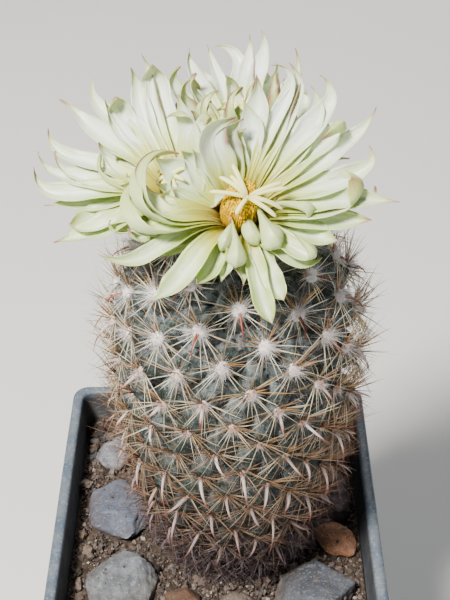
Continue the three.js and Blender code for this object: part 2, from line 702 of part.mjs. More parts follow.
/** Style with its spreading stigma lobes. */
function makePistil(flower) {
  const { a, e1, e2 } = directions(flower.axis);
  const top = flower.tube + STAMEN_HEIGHT + 1.1;
  let pistil = turned([[flower.tube - 5.6, STYLE_RADIUS - 0.1], [top - 0.9, STYLE_RADIUS - 0.1],
    [top - 0.5, 1.15], [top + 0.1, 1]], 7, flower.base, flower.axis);
  const centre = flower.base.clone().addScaledVector(a, top - 0.35);
  for (let i = 0; i < STIGMA_LOBES; i += 1) {
    const t = (360 / STIGMA_LOBES) * (i + 0.3) * RAD;
    const rho = e1.clone().multiplyScalar(Math.cos(t)).addScaledVector(e2, Math.sin(t));
    const at = (out, rise) => centre.clone().addScaledVector(rho, out).addScaledVector(a, rise);
    const lift = i % 2 ? 0.5 : 1.3;
    pistil = pistil.add(needle([[at(0.6, 0), 0.42], [at(flower.lobes * 0.55, lift * 0.8), 0.42],
      [at(flower.lobes, lift), 0.3]]));
  }
  return pistil;
}

/** Corner numbers of a mesh without its sealed pockets, which face inwards and hold negative volume. */
function withoutPockets(places, corners) {
  const leader = Array.from({ length: places.length / 3 }, (_, i) => i);
  const find = (i) => {
    let n = i;
    while (leader[n] !== n) {
      leader[n] = leader[leader[n]];
      n = leader[n];
    }
    return n;
  };
  const at = (i) => vec(places[3 * i], places[3 * i + 1], places[3 * i + 2]);
  for (let k = 0; k < corners.length; k += 3) {
    leader[find(corners[k + 1])] = find(corners[k]);
    leader[find(corners[k + 2])] = find(corners[k]);
  }
  const volumes = new Map();
  for (let k = 0; k < corners.length; k += 3) {
    const shell = find(corners[k]);
    const share = at(corners[k]).dot(at(corners[k + 1]).cross(at(corners[k + 2])));
    volumes.set(shell, (volumes.get(shell) ?? 0) + share);
  }
  return [...corners].filter((_, k) => volumes.get(find(corners[k - (k % 3)])) > 0);
}

/** Named mesh of a body, in its own plain colour. */
function mesh(name, shape, color, roughness) {
  const { vertProperties, triVerts } = shape.getMesh();
  const geometry = new THREE.BufferGeometry();
  geometry.setAttribute('position', new THREE.BufferAttribute(new Float32Array(vertProperties), 3));
  geometry.setIndex(withoutPockets(vertProperties, triVerts));
  geometry.computeVertexNormals();
  const made = new THREE.Mesh(geometry, new THREE.MeshStandardMaterial({ color, roughness, metalness: 0 }));
  made.name = name;
  return made;
}

const areoles = makeAreoles();
const skin = makeSkin(areoles, (number, feet) => feet.map(() => null));
const pot = makePot();
const hole = turned(HOLE_OUTLINE, NECK_SIDES, vec(STEM_X, 0, SOIL_LEVEL), vec(0, 0, 1));
const soil = makeSoil(hole, STONES.map(([, size, place, turn, tilt], i) => (
  lump(70 + i, size, vec(place[0], place[1], SOIL_LEVEL + place[2]), turn, tilt, CLEARANCE + 0.05))));
const stones = STONES.map(([, size, place, turn, tilt], i) => (
  lump(70 + i, size, vec(place[0], place[1], SOIL_LEVEL + place[2]), turn, tilt)));
const stamens = FLOWERS.map(makeStamens);
const pistils = FLOWERS.map(makePistil);
const perianths = [];
FLOWERS.forEach((flower, i) => {
  const tubes = FLOWERS.filter((_, k) => k !== i).map((other) => tubeBody(other));
  perianths.push(makePerianth(flower, [skin, ...tubes, ...stamens, ...pistils, ...perianths]));
});
const stem = makeStem(areoles, FLOWERS.map((f) => tubeBody(f, CLEARANCE)),
  [...perianths, ...stones, soil, pot]);

const plant = new THREE.Group();
plant.name = 'potted_cactus';
plant.add(mesh('pot', pot, 0x5d6a78, 0.6));
plant.add(mesh('soil', soil, 0x6b5848, 0.95));
plant.add(mesh('cactus_stem', stem, 0x5c6b57, 0.8));
FLOWERS.forEach(({ name }, i) => {
  plant.add(mesh(`${name}_flower_petals`, perianths[i], 0xeef0cf, 0.5));
  plant.add(mesh(`${name}_flower_stamens`, stamens[i], 0xf2b21c, 0.7));
  plant.add(mesh(`${name}_flower_pistil`, pistils[i], 0xf3ecc4, 0.6));
});
STONES.forEach(([name, , , , , color], i) => plant.add(mesh(name, stones[i], color, 0.9)));

export default plant;
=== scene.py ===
"""Looks of a small potted cactus in bloom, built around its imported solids.

Sizes are in millimetres in the part's own frame (+Z up, the pot stands on z = 0) and become
metres when a piece is made. The classes follow the object: pot, soil and stones, stem with its
spines and wool, and three flowers.
"""

import logging
import math
from dataclasses import dataclass, field
from enum import Enum
from typing import Optional

import bmesh
import bpy
import numpy as np
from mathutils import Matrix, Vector
from mathutils.bvhtree import BVHTree


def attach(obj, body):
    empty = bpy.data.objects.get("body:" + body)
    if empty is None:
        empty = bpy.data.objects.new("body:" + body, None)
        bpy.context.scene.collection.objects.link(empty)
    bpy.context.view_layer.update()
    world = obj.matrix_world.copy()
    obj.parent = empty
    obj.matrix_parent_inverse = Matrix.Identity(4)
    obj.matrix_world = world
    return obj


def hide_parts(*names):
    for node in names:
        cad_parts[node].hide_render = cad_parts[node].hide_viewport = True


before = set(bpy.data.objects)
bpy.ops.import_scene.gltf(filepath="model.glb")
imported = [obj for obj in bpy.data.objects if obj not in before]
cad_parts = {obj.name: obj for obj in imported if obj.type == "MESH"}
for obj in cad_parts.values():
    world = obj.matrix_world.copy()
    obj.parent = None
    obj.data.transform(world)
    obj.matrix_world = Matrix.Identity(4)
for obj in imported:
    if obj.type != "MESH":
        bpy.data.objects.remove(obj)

LOG = logging.getLogger("potted_cactus")
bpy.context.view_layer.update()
Socket = bpy.types.NodeSocket
Material = bpy.types.Material
Piece = bpy.types.Object

MM = 0.001
GOLDEN = 137.508

POT_HEIGHT = 65.0
SOIL_LEVEL = 57.0
STEM_X = 3.7
STEM_HEIGHT = 85.0
STEM_OUTLINE = (
    (0, 15.5), (8, 18), (20, 20.5), (35, 22.4), (50, 23.4), (62, 23.4),
    (70, 21.5), (77, 17), (82, 11), (84.5, 5), (85, 0.01),
)
SPINE_CLEARANCE = 0.5
SHORTEST_SPINE = 3.0
BLADE_STEPS = 80


class Series(Enum):
    """Series of the added tepals; the value is the redness of their backs."""

    INNER = 0.0
    OUTER = 1.0


class Outline(Enum):
    """Half width of a tepal along its length, as rows of place and share of the widest."""

    SHARP = ((0, 0.4), (0.15, 0.48), (0.3, 0.72), (0.45, 0.95), (0.56, 1.0), (0.68, 0.9), (0.77, 0.66),
             (0.84, 0.42), (0.9, 0.24), (0.95, 0.11), (1, 0.015))
    BLUNT = ((0, 0.4), (0.15, 0.48), (0.3, 0.72), (0.5, 0.97), (0.66, 1.0), (0.77, 0.9), (0.84, 0.64),
             (0.89, 0.36), (0.93, 0.19), (0.97, 0.08), (1, 0.015))
    CLAW = ((0, 0.4), (0.15, 0.5), (0.3, 0.8), (0.42, 1.0), (0.54, 1.0), (0.64, 0.84), (0.72, 0.56),
            (0.8, 0.3), (0.88, 0.15), (0.95, 0.07), (1, 0.015))
    STRAP = ((0, 0.4), (0.15, 0.55), (0.3, 0.8), (0.45, 0.96), (0.6, 1.0), (0.8, 0.96), (0.88, 0.84),
             (0.93, 0.62), (0.96, 0.36), (0.98, 0.15), (1, 0.015))


def linear(code: str) -> tuple[float, float, float, float]:
    """Scene colour of a six-digit display colour.

    Args:
        code: Hexadecimal display colour, such as "f2eeda".

    Returns:
        Linear red, green, blue and a full alpha.
    """
    parts = [int(code[i:i + 2], 16) / 255 for i in (0, 2, 4)]
    red, green, blue = (c / 12.92 if c <= 0.04045 else ((c + 0.055) / 1.055) ** 2.4 for c in parts)
    return red, green, blue, 1.0


def unit(v: np.ndarray) -> np.ndarray:
    """Vectors along the last axis, brought to length one."""
    return v / np.maximum(np.linalg.norm(v, axis=-1, keepdims=True), 1e-9)


def smooth(x: np.ndarray, low: float, high: float) -> np.ndarray:
    """Smooth step of x from 0 at low to 1 at high."""
    t = np.clip((x - low) / (high - low), 0, 1)
    return t * t * (3 - 2 * t)


def pick(rows: tuple, x: np.ndarray) -> np.ndarray:
    """Value at x along (x, value) rows."""
    return np.interp(x, [r[0] for r in rows], [r[1] for r in rows])


def ripple(points: np.ndarray, size: float, seed: int) -> np.ndarray:
    """Smooth random relief, from -1 to 1, at points in space.

    Args:
        points: Places as an array of rows of three.
        size: Distance between bumps, in the points' unit.
        seed: Chooses the pattern.

    Returns:
        One height for each point.
    """
    q = points / size + seed * 7.31
    base = np.floor(q).astype(np.int64)
    f = q - base
    f = f * f * (3 - 2 * f)
    total = np.zeros(len(points))
    for dx in (0, 1):
        for dy in (0, 1):
            for dz in (0, 1):
                n = (base[:, 0] + dx) * 374761393 + (base[:, 1] + dy) * 668265263
                n = n + (base[:, 2] + dz) * 1274126177 + seed * 40503
                n = (n ^ (n >> 13)) * 1103515245 & 0x7FFFFFFF
                n = (n ^ (n >> 11)) * 69069 & 0x7FFFFFFF
                value = n / 0x3FFFFFFF - 1
                weight = (f[:, 0] if dx else 1 - f[:, 0]) * (f[:, 1] if dy else 1 - f[:, 1])
                total += value * weight * (f[:, 2] if dz else 1 - f[:, 2])
    return total


def soil_height(x: np.ndarray, y: np.ndarray) -> np.ndarray:
    """Height of the soil: low mounds, coarse lumps and a slight rise against the stem.

    Args:
        x: Places to the right.
        y: Places to the back.

    Returns:
        Heights in millimetres.
    """
    lumps = np.sin(x * 0.93 + 1.3) * np.cos(y * 1.07 - 0.4)
    lumps = lumps + 0.6 * np.sin(x * 1.9 - y * 1.3 + 2) + 0.5 * np.cos(x * 0.31 - y * 0.27)
    rise = np.maximum(0, 1 - (np.hypot(x - STEM_X, y) - 15) / 8)
    return SOIL_LEVEL + 0.27 * lumps + 0.4 * rise


class Paint:
    """Node graph of one procedural material, with short ways to add its usual nodes."""

    def __init__(self, name: str, roughness: float, specular: float = 0.5) -> None:
        """Makes the material with a shader of its own.

        Args:
            name: Material name.
            roughness: Roughness where nothing else feeds it.
            specular: Specular level.
        """
        self.material = bpy.data.materials.new(name)
        self.material.use_nodes = True
        self.nodes = self.material.node_tree.nodes
        self.links = self.material.node_tree.links
        self.shader = self.nodes["Principled BSDF"]
        self.shader.inputs["Roughness"].default_value = roughness
        self.shader.inputs["Specular IOR Level"].default_value = specular
        self.place = self.nodes.new("ShaderNodeTexCoord").outputs["Object"]

    def node(self, kind: str, source: Optional[Socket], into: str = "Vector",
             **inputs: object) -> bpy.types.Node:
        """Adds a node, sets its inputs and feeds it.

        Args:
            kind: Node type without its leading "ShaderNode".
            source: Socket that feeds the node, or None for the object's coordinates.
            into: Name of the input that is fed.
            inputs: Values of other inputs by name.

        Returns:
            The new node.
        """
        node = self.nodes.new(f"ShaderNode{kind}")
        for key, value in inputs.items():
            node.inputs[key].default_value = value
        self.links.new(source or self.place, node.inputs[into])
        return node

    def stretch(self, scale: tuple, source: Optional[Socket] = None) -> Socket:
        """Coordinates scaled along each axis."""
        return self.node("Mapping", source, Scale=scale).outputs["Vector"]

    def noise(self, scale: float, detail: float = 3, rough: float = 0.55,
              at: Optional[Socket] = None) -> Socket:
        """Cloudy noise; scale counts clouds in a metre, or in a unit of the coordinates given."""
        return self.node("TexNoise", at, Scale=scale, Detail=detail, Roughness=rough).outputs["Fac"]

    def cells(self, scale: float) -> Socket:
        """Distance within scattered cells."""
        return self.node("TexVoronoi", None, Scale=scale).outputs["Distance"]

    def height(self) -> Socket:
        """Height above the floor in metres."""
        return self.node("SeparateXYZ", None).outputs["Z"]

    def own(self, name: str) -> Socket:
        """Value that the mesh carries under a name."""
        node = self.nodes.new("ShaderNodeAttribute")
        node.attribute_name = name
        return node.outputs["Fac"]

    def ramp(self, source: Socket, *stops: tuple) -> Socket:
        """Colour or grey level along a value.

        Args:
            source: The value.
            stops: Pairs of a place from 0 to 1 and a colour code or grey level.

        Returns:
            Colour socket.
        """
        node = self.node("ValToRGB", source, "Fac")
        elements = node.color_ramp.elements
        while len(elements) < len(stops):
            elements.new(0.5)
        for element, (place, value) in zip(elements, stops):
            element.position = place
            element.color = linear(value) if isinstance(value, str) else (value, value, value, 1)
        return node.outputs["Color"]

    def fade(self, source: Socket, low: float, high: float, start: float = 0.0, end: float = 1.0) -> Socket:
        """Grey level that runs from start at low to end at high."""
        return self.ramp(source, (low, start), (high, end))

    def link(self, socket: Socket, value: object) -> None:
        """Gives an input another socket, a number or a colour code."""
        if isinstance(value, Socket):
            self.links.new(value, socket)
        else:
            socket.default_value = linear(value) if isinstance(value, str) else value

    def maths(self, way: str, a: object, b: object = 0.0) -> Socket:
        """Arithmetic on sockets or numbers.

        Args:
            way: Kind of sum, such as "ADD".
            a: First socket or number.
            b: Second one.

        Returns:
            Value socket.
        """
        node = self.nodes.new("ShaderNodeMath")
        node.operation = way
        for socket, value in zip(node.inputs, (a, b)):
            self.link(socket, value)
        return node.outputs[0]

    def times(self, first: object, *others: object) -> Socket:
        """Product of sockets or numbers."""
        for other in others:
            first = self.maths("MULTIPLY", first, other)
        return first

    def tint(self, base: object, colour: object, share: Socket, strength: float = 1.0) -> Socket:
        """Lays a colour over another.

        Args:
            base: Colour below, a socket or a colour code.
            colour: Colour above, a socket or a colour code.
            share: How much of the upper colour shows.
            strength: The most of it that shows.

        Returns:
            Colour socket.
        """
        node = self.nodes.new("ShaderNodeMix")
        node.data_type = "RGBA"
        share = share if strength == 1 else self.times(share, strength)
        for index, value in ((0, share), (6, base), (7, colour)):
            self.link(node.inputs[index], value)
        return node.outputs[2]

    def rough(self, source: Socket) -> None:
        """Sends a roughness to the shader."""
        self.links.new(source, self.shader.inputs["Roughness"])

    def glow_through(self, weight: float, scale: float, radius: tuple) -> None:
        """Lets light scatter below the surface."""
        for key, value in (("Weight", weight), ("Scale", scale), ("Radius", radius)):
            self.shader.inputs[f"Subsurface {key}"].default_value = value

    def sheen(self, weight: float) -> None:
        """Gives the surface the soft edge light of fine hairs."""
        self.shader.inputs["Sheen Weight"].default_value = weight

    def done(self, colour: Socket, *bumps: tuple) -> Material:
        """Sends the colour and the bumps to the shader.

        Args:
            colour: Base colour.
            bumps: Layers of a height socket, a depth in metres and a strength, the lowest first.

        Returns:
            The finished material.
        """
        self.links.new(colour, self.shader.inputs["Base Color"])
        under = self.shader.inputs["Normal"]
        for height, depth, strength in reversed(bumps):
            node = self.node("Bump", height, "Height", Distance=depth, Strength=strength)
            self.links.new(node.outputs["Normal"], under)
            under = node.inputs["Normal"]
        return self.material


@dataclass(frozen=True)
class PotPlastic:
    """Blue-grey moulded plastic, scuffed, dusted and marked by hard water, with painted shade darkening its
    inside.
    """

    body: str = "465361"
    cloud: str = "4a5560"
    worn: str = "8593a2"
    dust: str = "8a8a88"
    # Painted shade: near-black colours for the pot's inside walls and floor.
    painted_inner_shade: tuple = ("1f2022", "3b3936")

    def make(self) -> Material:
        """Builds the material."""
        p = Paint("pot_plastic", 0.5, 0.45)
        base = p.tint(self.body, self.cloud, p.fade(p.noise(90, 4), 0.35, 0.7))
        base = p.tint(base, self.worn, p.fade(p.noise(1500, 2, 0.6), 0.55, 0.72), 0.55)
        scuff = p.fade(p.noise(1.0, 4, 0.7, p.stretch((900, 900, 60))), 0.56, 0.7)
        base = p.tint(base, self.worn, scuff, 0.3)
        near_rim = p.fade(p.height(), 0.045, 0.0645)
        base = p.tint(base, self.dust, p.times(near_rim, p.fade(p.noise(170, 5, 0.65), 0.42, 0.66)), 0.35)
        # Painted shade: the dark mix darkens the pot's inside walls and floor, where shade falls.
        painted_inner_shade = p.tint(*self.painted_inner_shade, p.fade(p.noise(320, 4), 0.35, 0.7))
        base = p.tint(base, painted_inner_shade, p.own("inside"), 0.75)
        p.rough(p.fade(p.noise(260, 4), 0.3, 0.7, 0.42, 0.68))
        return p.done(base, (p.noise(2200, 3), 0.00008, 0.35), (scuff, 0.00006, 0.3))


@dataclass(frozen=True)
class SoilDirt:
    """Dark mineral soil between the grains."""

    dark: str = "1d1815"
    mid: str = "3d332b"
    pale: str = "665a4e"
    warm: str = "4f433a"

    def make(self) -> Material:
        """Builds the material."""
        p = Paint("soil_dirt", 0.95, 0.2)
        base = p.ramp(p.noise(700, 6, 0.7), (0.3, self.dark), (0.52, self.mid), (0.75, self.pale))
        base = p.tint(base, self.warm, p.fade(p.noise(110, 3), 0.35, 0.7), 0.4)
        return p.done(base, (p.noise(1400, 5, 0.7), 0.0005, 0.8), (p.cells(1800), 0.0003, 0.5))


@dataclass(frozen=True)
class GritGrain:
    """Sharp sand and gravel in mixed mineral colours, one for each grain."""

    minerals: tuple = ((0.0, "1f1a18"), (0.18, "3d352f"), (0.34, "5a4e45"), (0.46, "4a494e"),
                       (0.58, "6f6257"), (0.7, "62504c"), (0.82, "7f7369"), (0.93, "5d4a3c"),
                       (1.0, "b9b3ab"))
    dirt: str = "352c26"

    def make(self) -> Material:
        """Builds the material."""
        p = Paint("grit_grain", 0.82, 0.3)
        base = p.ramp(p.own("tone"), *self.minerals)
        base = p.tint(base, self.dirt, p.fade(p.noise(2300, 5, 0.7), 0.35, 0.65), 0.5)
        return p.done(base, (p.noise(3000, 4, 0.7), 0.0002, 0.6))


@dataclass(frozen=True)
class BrokenStone:
    """Rough stone with clouds, veins and specks of its own colours, dusted with soil low down."""

    name: str
    main: str
    second: str
    vein: str
    vein_share: float = 0.3
    earth: str = "5d4d40"
    shade: str = "3c3d42"
    rust: str = "8a6a4c"

    def make(self) -> Material:
        """Builds the material."""
        p = Paint(self.name, 0.8, 0.3)
        base = p.tint(self.main, self.second, p.fade(p.noise(230, 5, 0.65), 0.38, 0.62))
        base = p.tint(base, self.shade, p.fade(p.noise(520, 6, 0.7), 0.4, 0.6, 1.0, 0.0), 0.55)
        vein = p.noise(1.0, 5, 0.6, p.stretch((60, 420, 300)))
        base = p.tint(base, self.vein, p.fade(vein, 0.56, 0.66), self.vein_share)
        base = p.tint(base, self.vein, p.fade(p.noise(1900, 3, 0.6), 0.58, 0.68), 0.55)
        base = p.tint(base, self.rust, p.fade(p.noise(650, 3, 0.6), 0.62, 0.72), 0.45)
        level = p.maths("ADD", p.height(), p.times(p.noise(500, 3), 0.003))
        base = p.tint(base, self.earth, p.fade(level, 0.0586, 0.0614, 1.0, 0.0), 0.6)
        return p.done(base, (p.noise(520, 6, 0.7), 0.0006, 0.8), (p.noise(2600, 5, 0.75), 0.00025, 0.8))


@dataclass(frozen=True)
class CactusSkin:
    """Blackish green skin with bluish flecks of old wool and dust, corky near the soil."""

    deep: str = "0f1715"
    green: str = "24322c"
    dusty: str = "8b9799"
    felt: str = "8b9396"
    cork: str = "2f2827"
    speck: str = "a9b0b2"

    def make(self) -> Material:
        """Builds the material."""
        p = Paint("cactus_skin", 0.62, 0.4)
        height = p.own("height")
        base = p.tint(self.deep, self.green, p.fade(p.noise(260, 4), 0.35, 0.65))
        dust = p.times(p.fade(p.noise(560, 6, 0.74), 0.46, 0.6), p.fade(p.noise(150, 3), 0.38, 0.6, 0.15))
        base = p.tint(base, self.dusty, p.times(dust, p.fade(height, 0.3, 0.72, 0.15)), 0.62)
        felt = p.fade(p.own("axil"), 0.7, 0.95, 0.0, 0.6)
        base = p.tint(base, self.felt, p.times(felt, p.fade(p.noise(900, 4), 0.4, 0.6)))
        base = p.tint(base, self.cork, p.fade(height, 0.05, 0.34, 1.0, 0.0), 0.9)
        base = p.tint(base, self.speck, p.fade(p.noise(3200, 2), 0.62, 0.7), 0.4)
        p.rough(p.fade(dust, 0.0, 0.6, 0.45, 0.85))
        return p.done(base, (p.noise(800, 5, 0.65), 0.0003, 0.5), (p.noise(3500, 3), 0.0001, 0.4))


@dataclass(frozen=True)
class SpineHorn:
    """Horny spine: brown root, pale shaft and a dark brown tip, duller and darker with age; part of that
    dulling lower on the stem is painted shade of the light falling off.
    """

    name: str
    root: str
    shaft: str
    second: str
    tip: str
    tip_from: float
    # Strength of the khaki dulling: partly ageing, partly painted shade lower on the stem.
    khaki_age_and_shade: float = 0.5

    def make(self) -> Material:
        """Builds the material."""
        p = Paint(self.name, 0.42, 0.5)
        along, tone, age = p.own("along"), p.own("tone"), p.own("age")
        base = p.tint(self.shaft, self.second, p.fade(tone, 0.3, 0.75))
        # Khaki dulling with age: partly real ageing, partly painted shade of the light falling off towards
        # the foot.
        base = p.tint(base, "8a7a5c", p.fade(age, 0.25, 0.6, 0.0, self.khaki_age_and_shade))
        base = p.tint(base, self.root, p.fade(along, 0.0, 0.14, 0.9, 0.0))
        brown = p.maths("ADD", along, p.times(tone, 0.12))
        base = p.tint(base, self.tip, p.fade(brown, self.tip_from, min(0.98, self.tip_from + 0.25)))
        # Reddish brown with age: older spines browner, and partly painted shade lower on the stem.
        base = p.tint(base, "6b4636", p.fade(age, 0.35, 0.72, 0.0, 0.62))
        base = p.tint(base, "4a4045", p.fade(age, 0.72, 0.93, 0.0, 0.85))
        base = p.tint(base, "5a463a", p.noise(1600, 3), 0.25)
        p.glow_through(0.12, 0.0005, (1.0, 0.6, 0.4))
        return p.done(base, (p.noise(1.0, 2, 0.5, p.stretch((5000, 5000, 900))), 0.00005, 0.4))


@dataclass(frozen=True)
class AreoleWool:
    """Cottony wool, white when young, with a rusty heart and dull lower down."""

    name: str = "areole_wool"
    young: str = "fbf8f9"
    middle: str = "ded8d6"
    old: str = "8a7b6f"

    def make(self) -> Material:
        """Builds the material."""
        p = Paint(self.name, 0.9, 0.15)
        base = p.ramp(p.own("age"), (0.0, self.young), (0.4, self.middle), (0.7, "b3a698"), (1.0, self.old))
        base = p.tint(base, self.middle, p.noise(1800, 3), 0.3)
        base = p.tint(base, "b8631f", p.own("heart"), 0.8)
        p.glow_through(0.4, 0.0008, (1.0, 0.9, 0.88))
        p.sheen(0.3)
        return p.done(base, (p.noise(4000, 3, 0.7), 0.0002, 0.7))


@dataclass(frozen=True)
class TepalSatin:
    """Satin tepal: golden foot, white to yellow-green blade, thin rosy point and a red keel outside; the
    darkest olive at the foot and part of the yellow-green are painted shade.
    """

    # Both inner ramps start dark olive at the foot: partly the throat's own green, partly painted shade deep
    # in the throat.
    white: tuple = ((0.0, "5a5c0c"), (0.12, "9c8a10"), (0.24, "b8b02c"), (0.36, "c6cf6a"), (0.5, "deecbe"),
                    (0.62, "eef9f0"), (0.85, "e4f2d8"), (0.94, "cbdc8c"), (1.0, "bfae66"))
    lush_and_shade: tuple = ((0.0, "5a5c0c"), (0.12, "9c8a10"), (0.24, "aaa422"), (0.36, "acb94e"), (0.52, "b2c86e"),
                   (0.8, "9db850"), (0.92, "8ca43c"), (1.0, "8e7a38"))
    outside: tuple = ((0.0, "8c983a"), (0.25, "afc266"), (0.6, "cbdc9e"), (0.88, "bccd7e"), (1.0, "93603f"))
    edge: str = "b7ca6e"
    pale: str = "f3faf4"
    keel: str = "6c0d28"
    flush: str = "7a1634"
    point: str = "93404a"
    vein: str = "b4c57a"

    def make(self) -> Material:
        """Builds the material."""
        p = Paint("tepal_satin", 0.34, 0.75)
        along, side, outer, rank, tone = (p.own(n) for n in ("along", "across", "outer", "rank", "tone"))
        across = p.maths("ABSOLUTE", side)
        # The green share mixes in the yellow-green ramp: partly the tepals' own colour, partly painted shade
        # on tepals turned from the light and inside curls.
        inside = p.tint(p.ramp(along, *self.white), p.ramp(along, *self.lush_and_shade), p.own("green"))
        base = p.tint(inside, p.ramp(along, *self.outside), outer)
        edge = p.times(p.fade(across, 0.7, 0.98), p.fade(along, 0.2, 0.7, 0.1, 0.35))
        base = p.tint(base, self.edge, edge)
        pale = p.times(p.fade(across, 0.0, 0.6, 0.5, 0.0), p.fade(along, 0.25, 0.55))
        base = p.tint(base, self.pale, p.times(pale, p.maths("SUBTRACT", 1.0, outer)))
        early = p.maths("ADD", along, p.times(p.fade(rank, 0.75, 1.0), 0.25))
        keel = p.times(outer, p.fade(across, 0.08, 0.5, 1.0, 0.0), p.fade(early, 0.58, 0.76))
        base = p.tint(base, self.keel, p.times(keel, p.fade(rank, 0.3, 0.7, 0.05)))
        flush = p.times(p.fade(rank, 0.45, 0.6, 0.0, 0.9), p.fade(side, 0.55, 0.9),
                        p.ramp(along, (0.5, 0.0), (0.62, 1.0), (0.82, 1.0), (0.92, 0.3)))
        base = p.tint(base, self.flush, p.times(flush, p.fade(tone, 0.2, 0.5)))
        point = p.times(p.fade(along, 0.9, 0.985), p.fade(tone, 0.3, 0.7, 0.15, 0.95))
        base = p.tint(base, self.point, point)
        blade = p.nodes.new("ShaderNodeUVMap")
        blade.uv_map = "blade"
        vein = p.noise(1.0, 3, 0.6, p.stretch((26, 1.6, 1), blade.outputs["UV"]))
        fine = p.noise(1.0, 2, 0.5, p.stretch((90, 5, 1), blade.outputs["UV"]))
        base = p.tint(base, self.vein, p.fade(vein, 0.42, 0.68), 0.34)
        p.rough(p.fade(vein, 0.3, 0.7, 0.22, 0.38))
        p.glow_through(0.35, 0.0008, (0.9, 1.0, 0.4))
        p.sheen(0.08)
        return p.done(base, (vein, 0.0002, 0.6), (fine, 0.00008, 0.5))


@dataclass(frozen=True)
class StamenGold:
    """Golden filaments, some pale and some orange-brown, with bright yellow anthers."""

    threads: tuple = ((0.0, "9a5c00"), (0.15, "bc8400"), (0.45, "d0a000"), (0.8, "dcb000"), (1.0, "e6c000"))
    anthers: tuple = ((0.0, "daa800"), (0.5, "e6b800"), (1.0, "f0c800"))
    foot: str = "bc9c0c"

    def make(self) -> Material:
        """Builds the material."""
        p = Paint("stamen_gold", 0.7, 0.06)
        along, tone = p.own("along"), p.own("tone")
        base = p.tint(p.ramp(tone, *self.threads), p.ramp(tone, *self.anthers), p.fade(along, 0.72, 0.85))
        base = p.tint(base, self.foot, p.fade(along, 0.0, 0.15, 0.5, 0.0))
        p.glow_through(0.3, 0.0006, (1.0, 1.0, 0.1))
        return p.done(base, (p.noise(6000, 3, 0.7), 0.0001, 0.6))


@dataclass(frozen=True)
class StigmaCream:
    """Creamy style and stigma lobes with a velvety skin and a peach-coloured heart."""

    length: tuple = ((0.0, "c8963c"), (0.09, "dfd078"), (0.25, "e9ea94"), (1.0, "f0f0a8"))
    velvet: str = "e2e29c"

    def make(self) -> Material:
        """Builds the material."""
        p = Paint("stigma_cream", 0.6, 0.3)
        base = p.tint(p.ramp(p.own("along"), *self.length), self.velvet, p.noise(1500, 3), 0.25)
        p.glow_through(0.25, 0.0006, (1.0, 0.9, 0.6))
        return p.done(base, (p.noise(5000, 2), 0.00015, 0.8))


@dataclass
class Pattern:
    """Small closed mesh that is copied many times: corner places and faces."""

    places: np.ndarray
    faces: list


class Patterns:
    """Small shapes made once with mesh operators."""

    @staticmethod
    def take(bm: bmesh.types.BMesh) -> Pattern:
        """Reads a finished mesh into a pattern and frees it.

        Args:
            bm: The finished bmesh.

        Returns:
            Its pattern.
        """
        bmesh.ops.recalc_face_normals(bm, faces=bm.faces)
        bm.verts.ensure_lookup_table()
        places = np.array([v.co[:] for v in bm.verts])
        faces = [[v.index for v in f.verts] for f in bm.faces]
        bm.free()
        return Pattern(places, faces)

    @staticmethod
    def needle(sides: int, cuts: int, tip: float) -> Pattern:
        """Tapered shaft from z = 0 to z = 1, of radius 1 at its root.

        Args:
            sides: Number of sides.
            cuts: Rings between root and tip.
            tip: Radius at the tip.

        Returns:
            The shaft's pattern.
        """
        bm = bmesh.new()
        bmesh.ops.create_cone(bm, cap_ends=True, segments=sides, radius1=1, radius2=tip, depth=1)
        bmesh.ops.translate(bm, verts=bm.verts, vec=(0, 0, 0.5))
        for k in range(1, cuts + 1):
            bmesh.ops.bisect_plane(bm, geom=bm.verts[:] + bm.edges[:] + bm.faces[:],
                                   plane_co=(0, 0, k / (cuts + 1)), plane_no=(0, 0, 1))
        return Patterns.take(bm)

    @staticmethod
    def finger(sides: int, rings: int) -> Pattern:
        """Blunt round-ended finger from z = 0 to z = 1.

        Args:
            sides: Number of sides.
            rings: Rings from end to end.

        Returns:
            The finger's pattern.
        """
        bm = bmesh.new()
        bmesh.ops.create_uvsphere(bm, u_segments=sides, v_segments=rings, radius=1)
        for v in bm.verts:
            across = math.hypot(v.co.x, v.co.y)
            full = (1 - abs(v.co.z) ** 7) ** 0.5 if across > 1e-6 else 0
            v.co.x *= full / max(across, 1e-6)
            v.co.y *= full / max(across, 1e-6)
            v.co.z = (v.co.z + 1) / 2
        return Patterns.take(bm)

    @staticmethod
    def blade(long_cuts: int, wide_cuts: int) -> Pattern:
        """Closed flat blade: x from 0 to 1 along it, y from -1 to 1 across, z of 1 or -1 by face.

        Args:
            long_cuts: Faces along it.
            wide_cuts: Faces across it.

        Returns:
            The blade's pattern.
        """
        bm = bmesh.new()
        bmesh.ops.create_grid(bm, x_segments=long_cuts, y_segments=wide_cuts, size=1)
        bmesh.ops.solidify(bm, geom=bm.faces[:], thickness=0.5)
        middle = sum(v.co.z for v in bm.verts) / len(bm.verts)
        for v in bm.verts:
            v.co.x = (v.co.x + 1) / 2
            v.co.z = 1 if v.co.z > middle else -1
        return Patterns.take(bm)

    @staticmethod
    def grain(fine: int, seed: int) -> Pattern:
        """Irregular angular grain of radius about 1.

        Args:
            fine: Subdivisions of its ball, or 0 for a cube.
            seed: Chooses its shape.

        Returns:
            The grain's pattern.
        """
        random = np.random.default_rng(seed)
        bm = bmesh.new()
        if fine:
            bmesh.ops.create_icosphere(bm, subdivisions=fine, radius=1)
        else:
            bmesh.ops.create_cube(bm, size=1.3)
        for v in bm.verts:
            v.co *= 0.72 + 0.5 * random.random()
        return Patterns.take(bm)


def show(mesh: bpy.types.Mesh, name: str, finish: Optional[Material]) -> Piece:
    """Puts a mesh into the scene.

    Args:
        mesh: The mesh.
        name: Object name.
        finish: Material, or None for a tool that is removed again.

    Returns:
        The object.
    """
    if finish:
        mesh.materials.append(finish)
    piece = bpy.data.objects.new(name, mesh)
    bpy.context.scene.collection.objects.link(piece)
    return piece


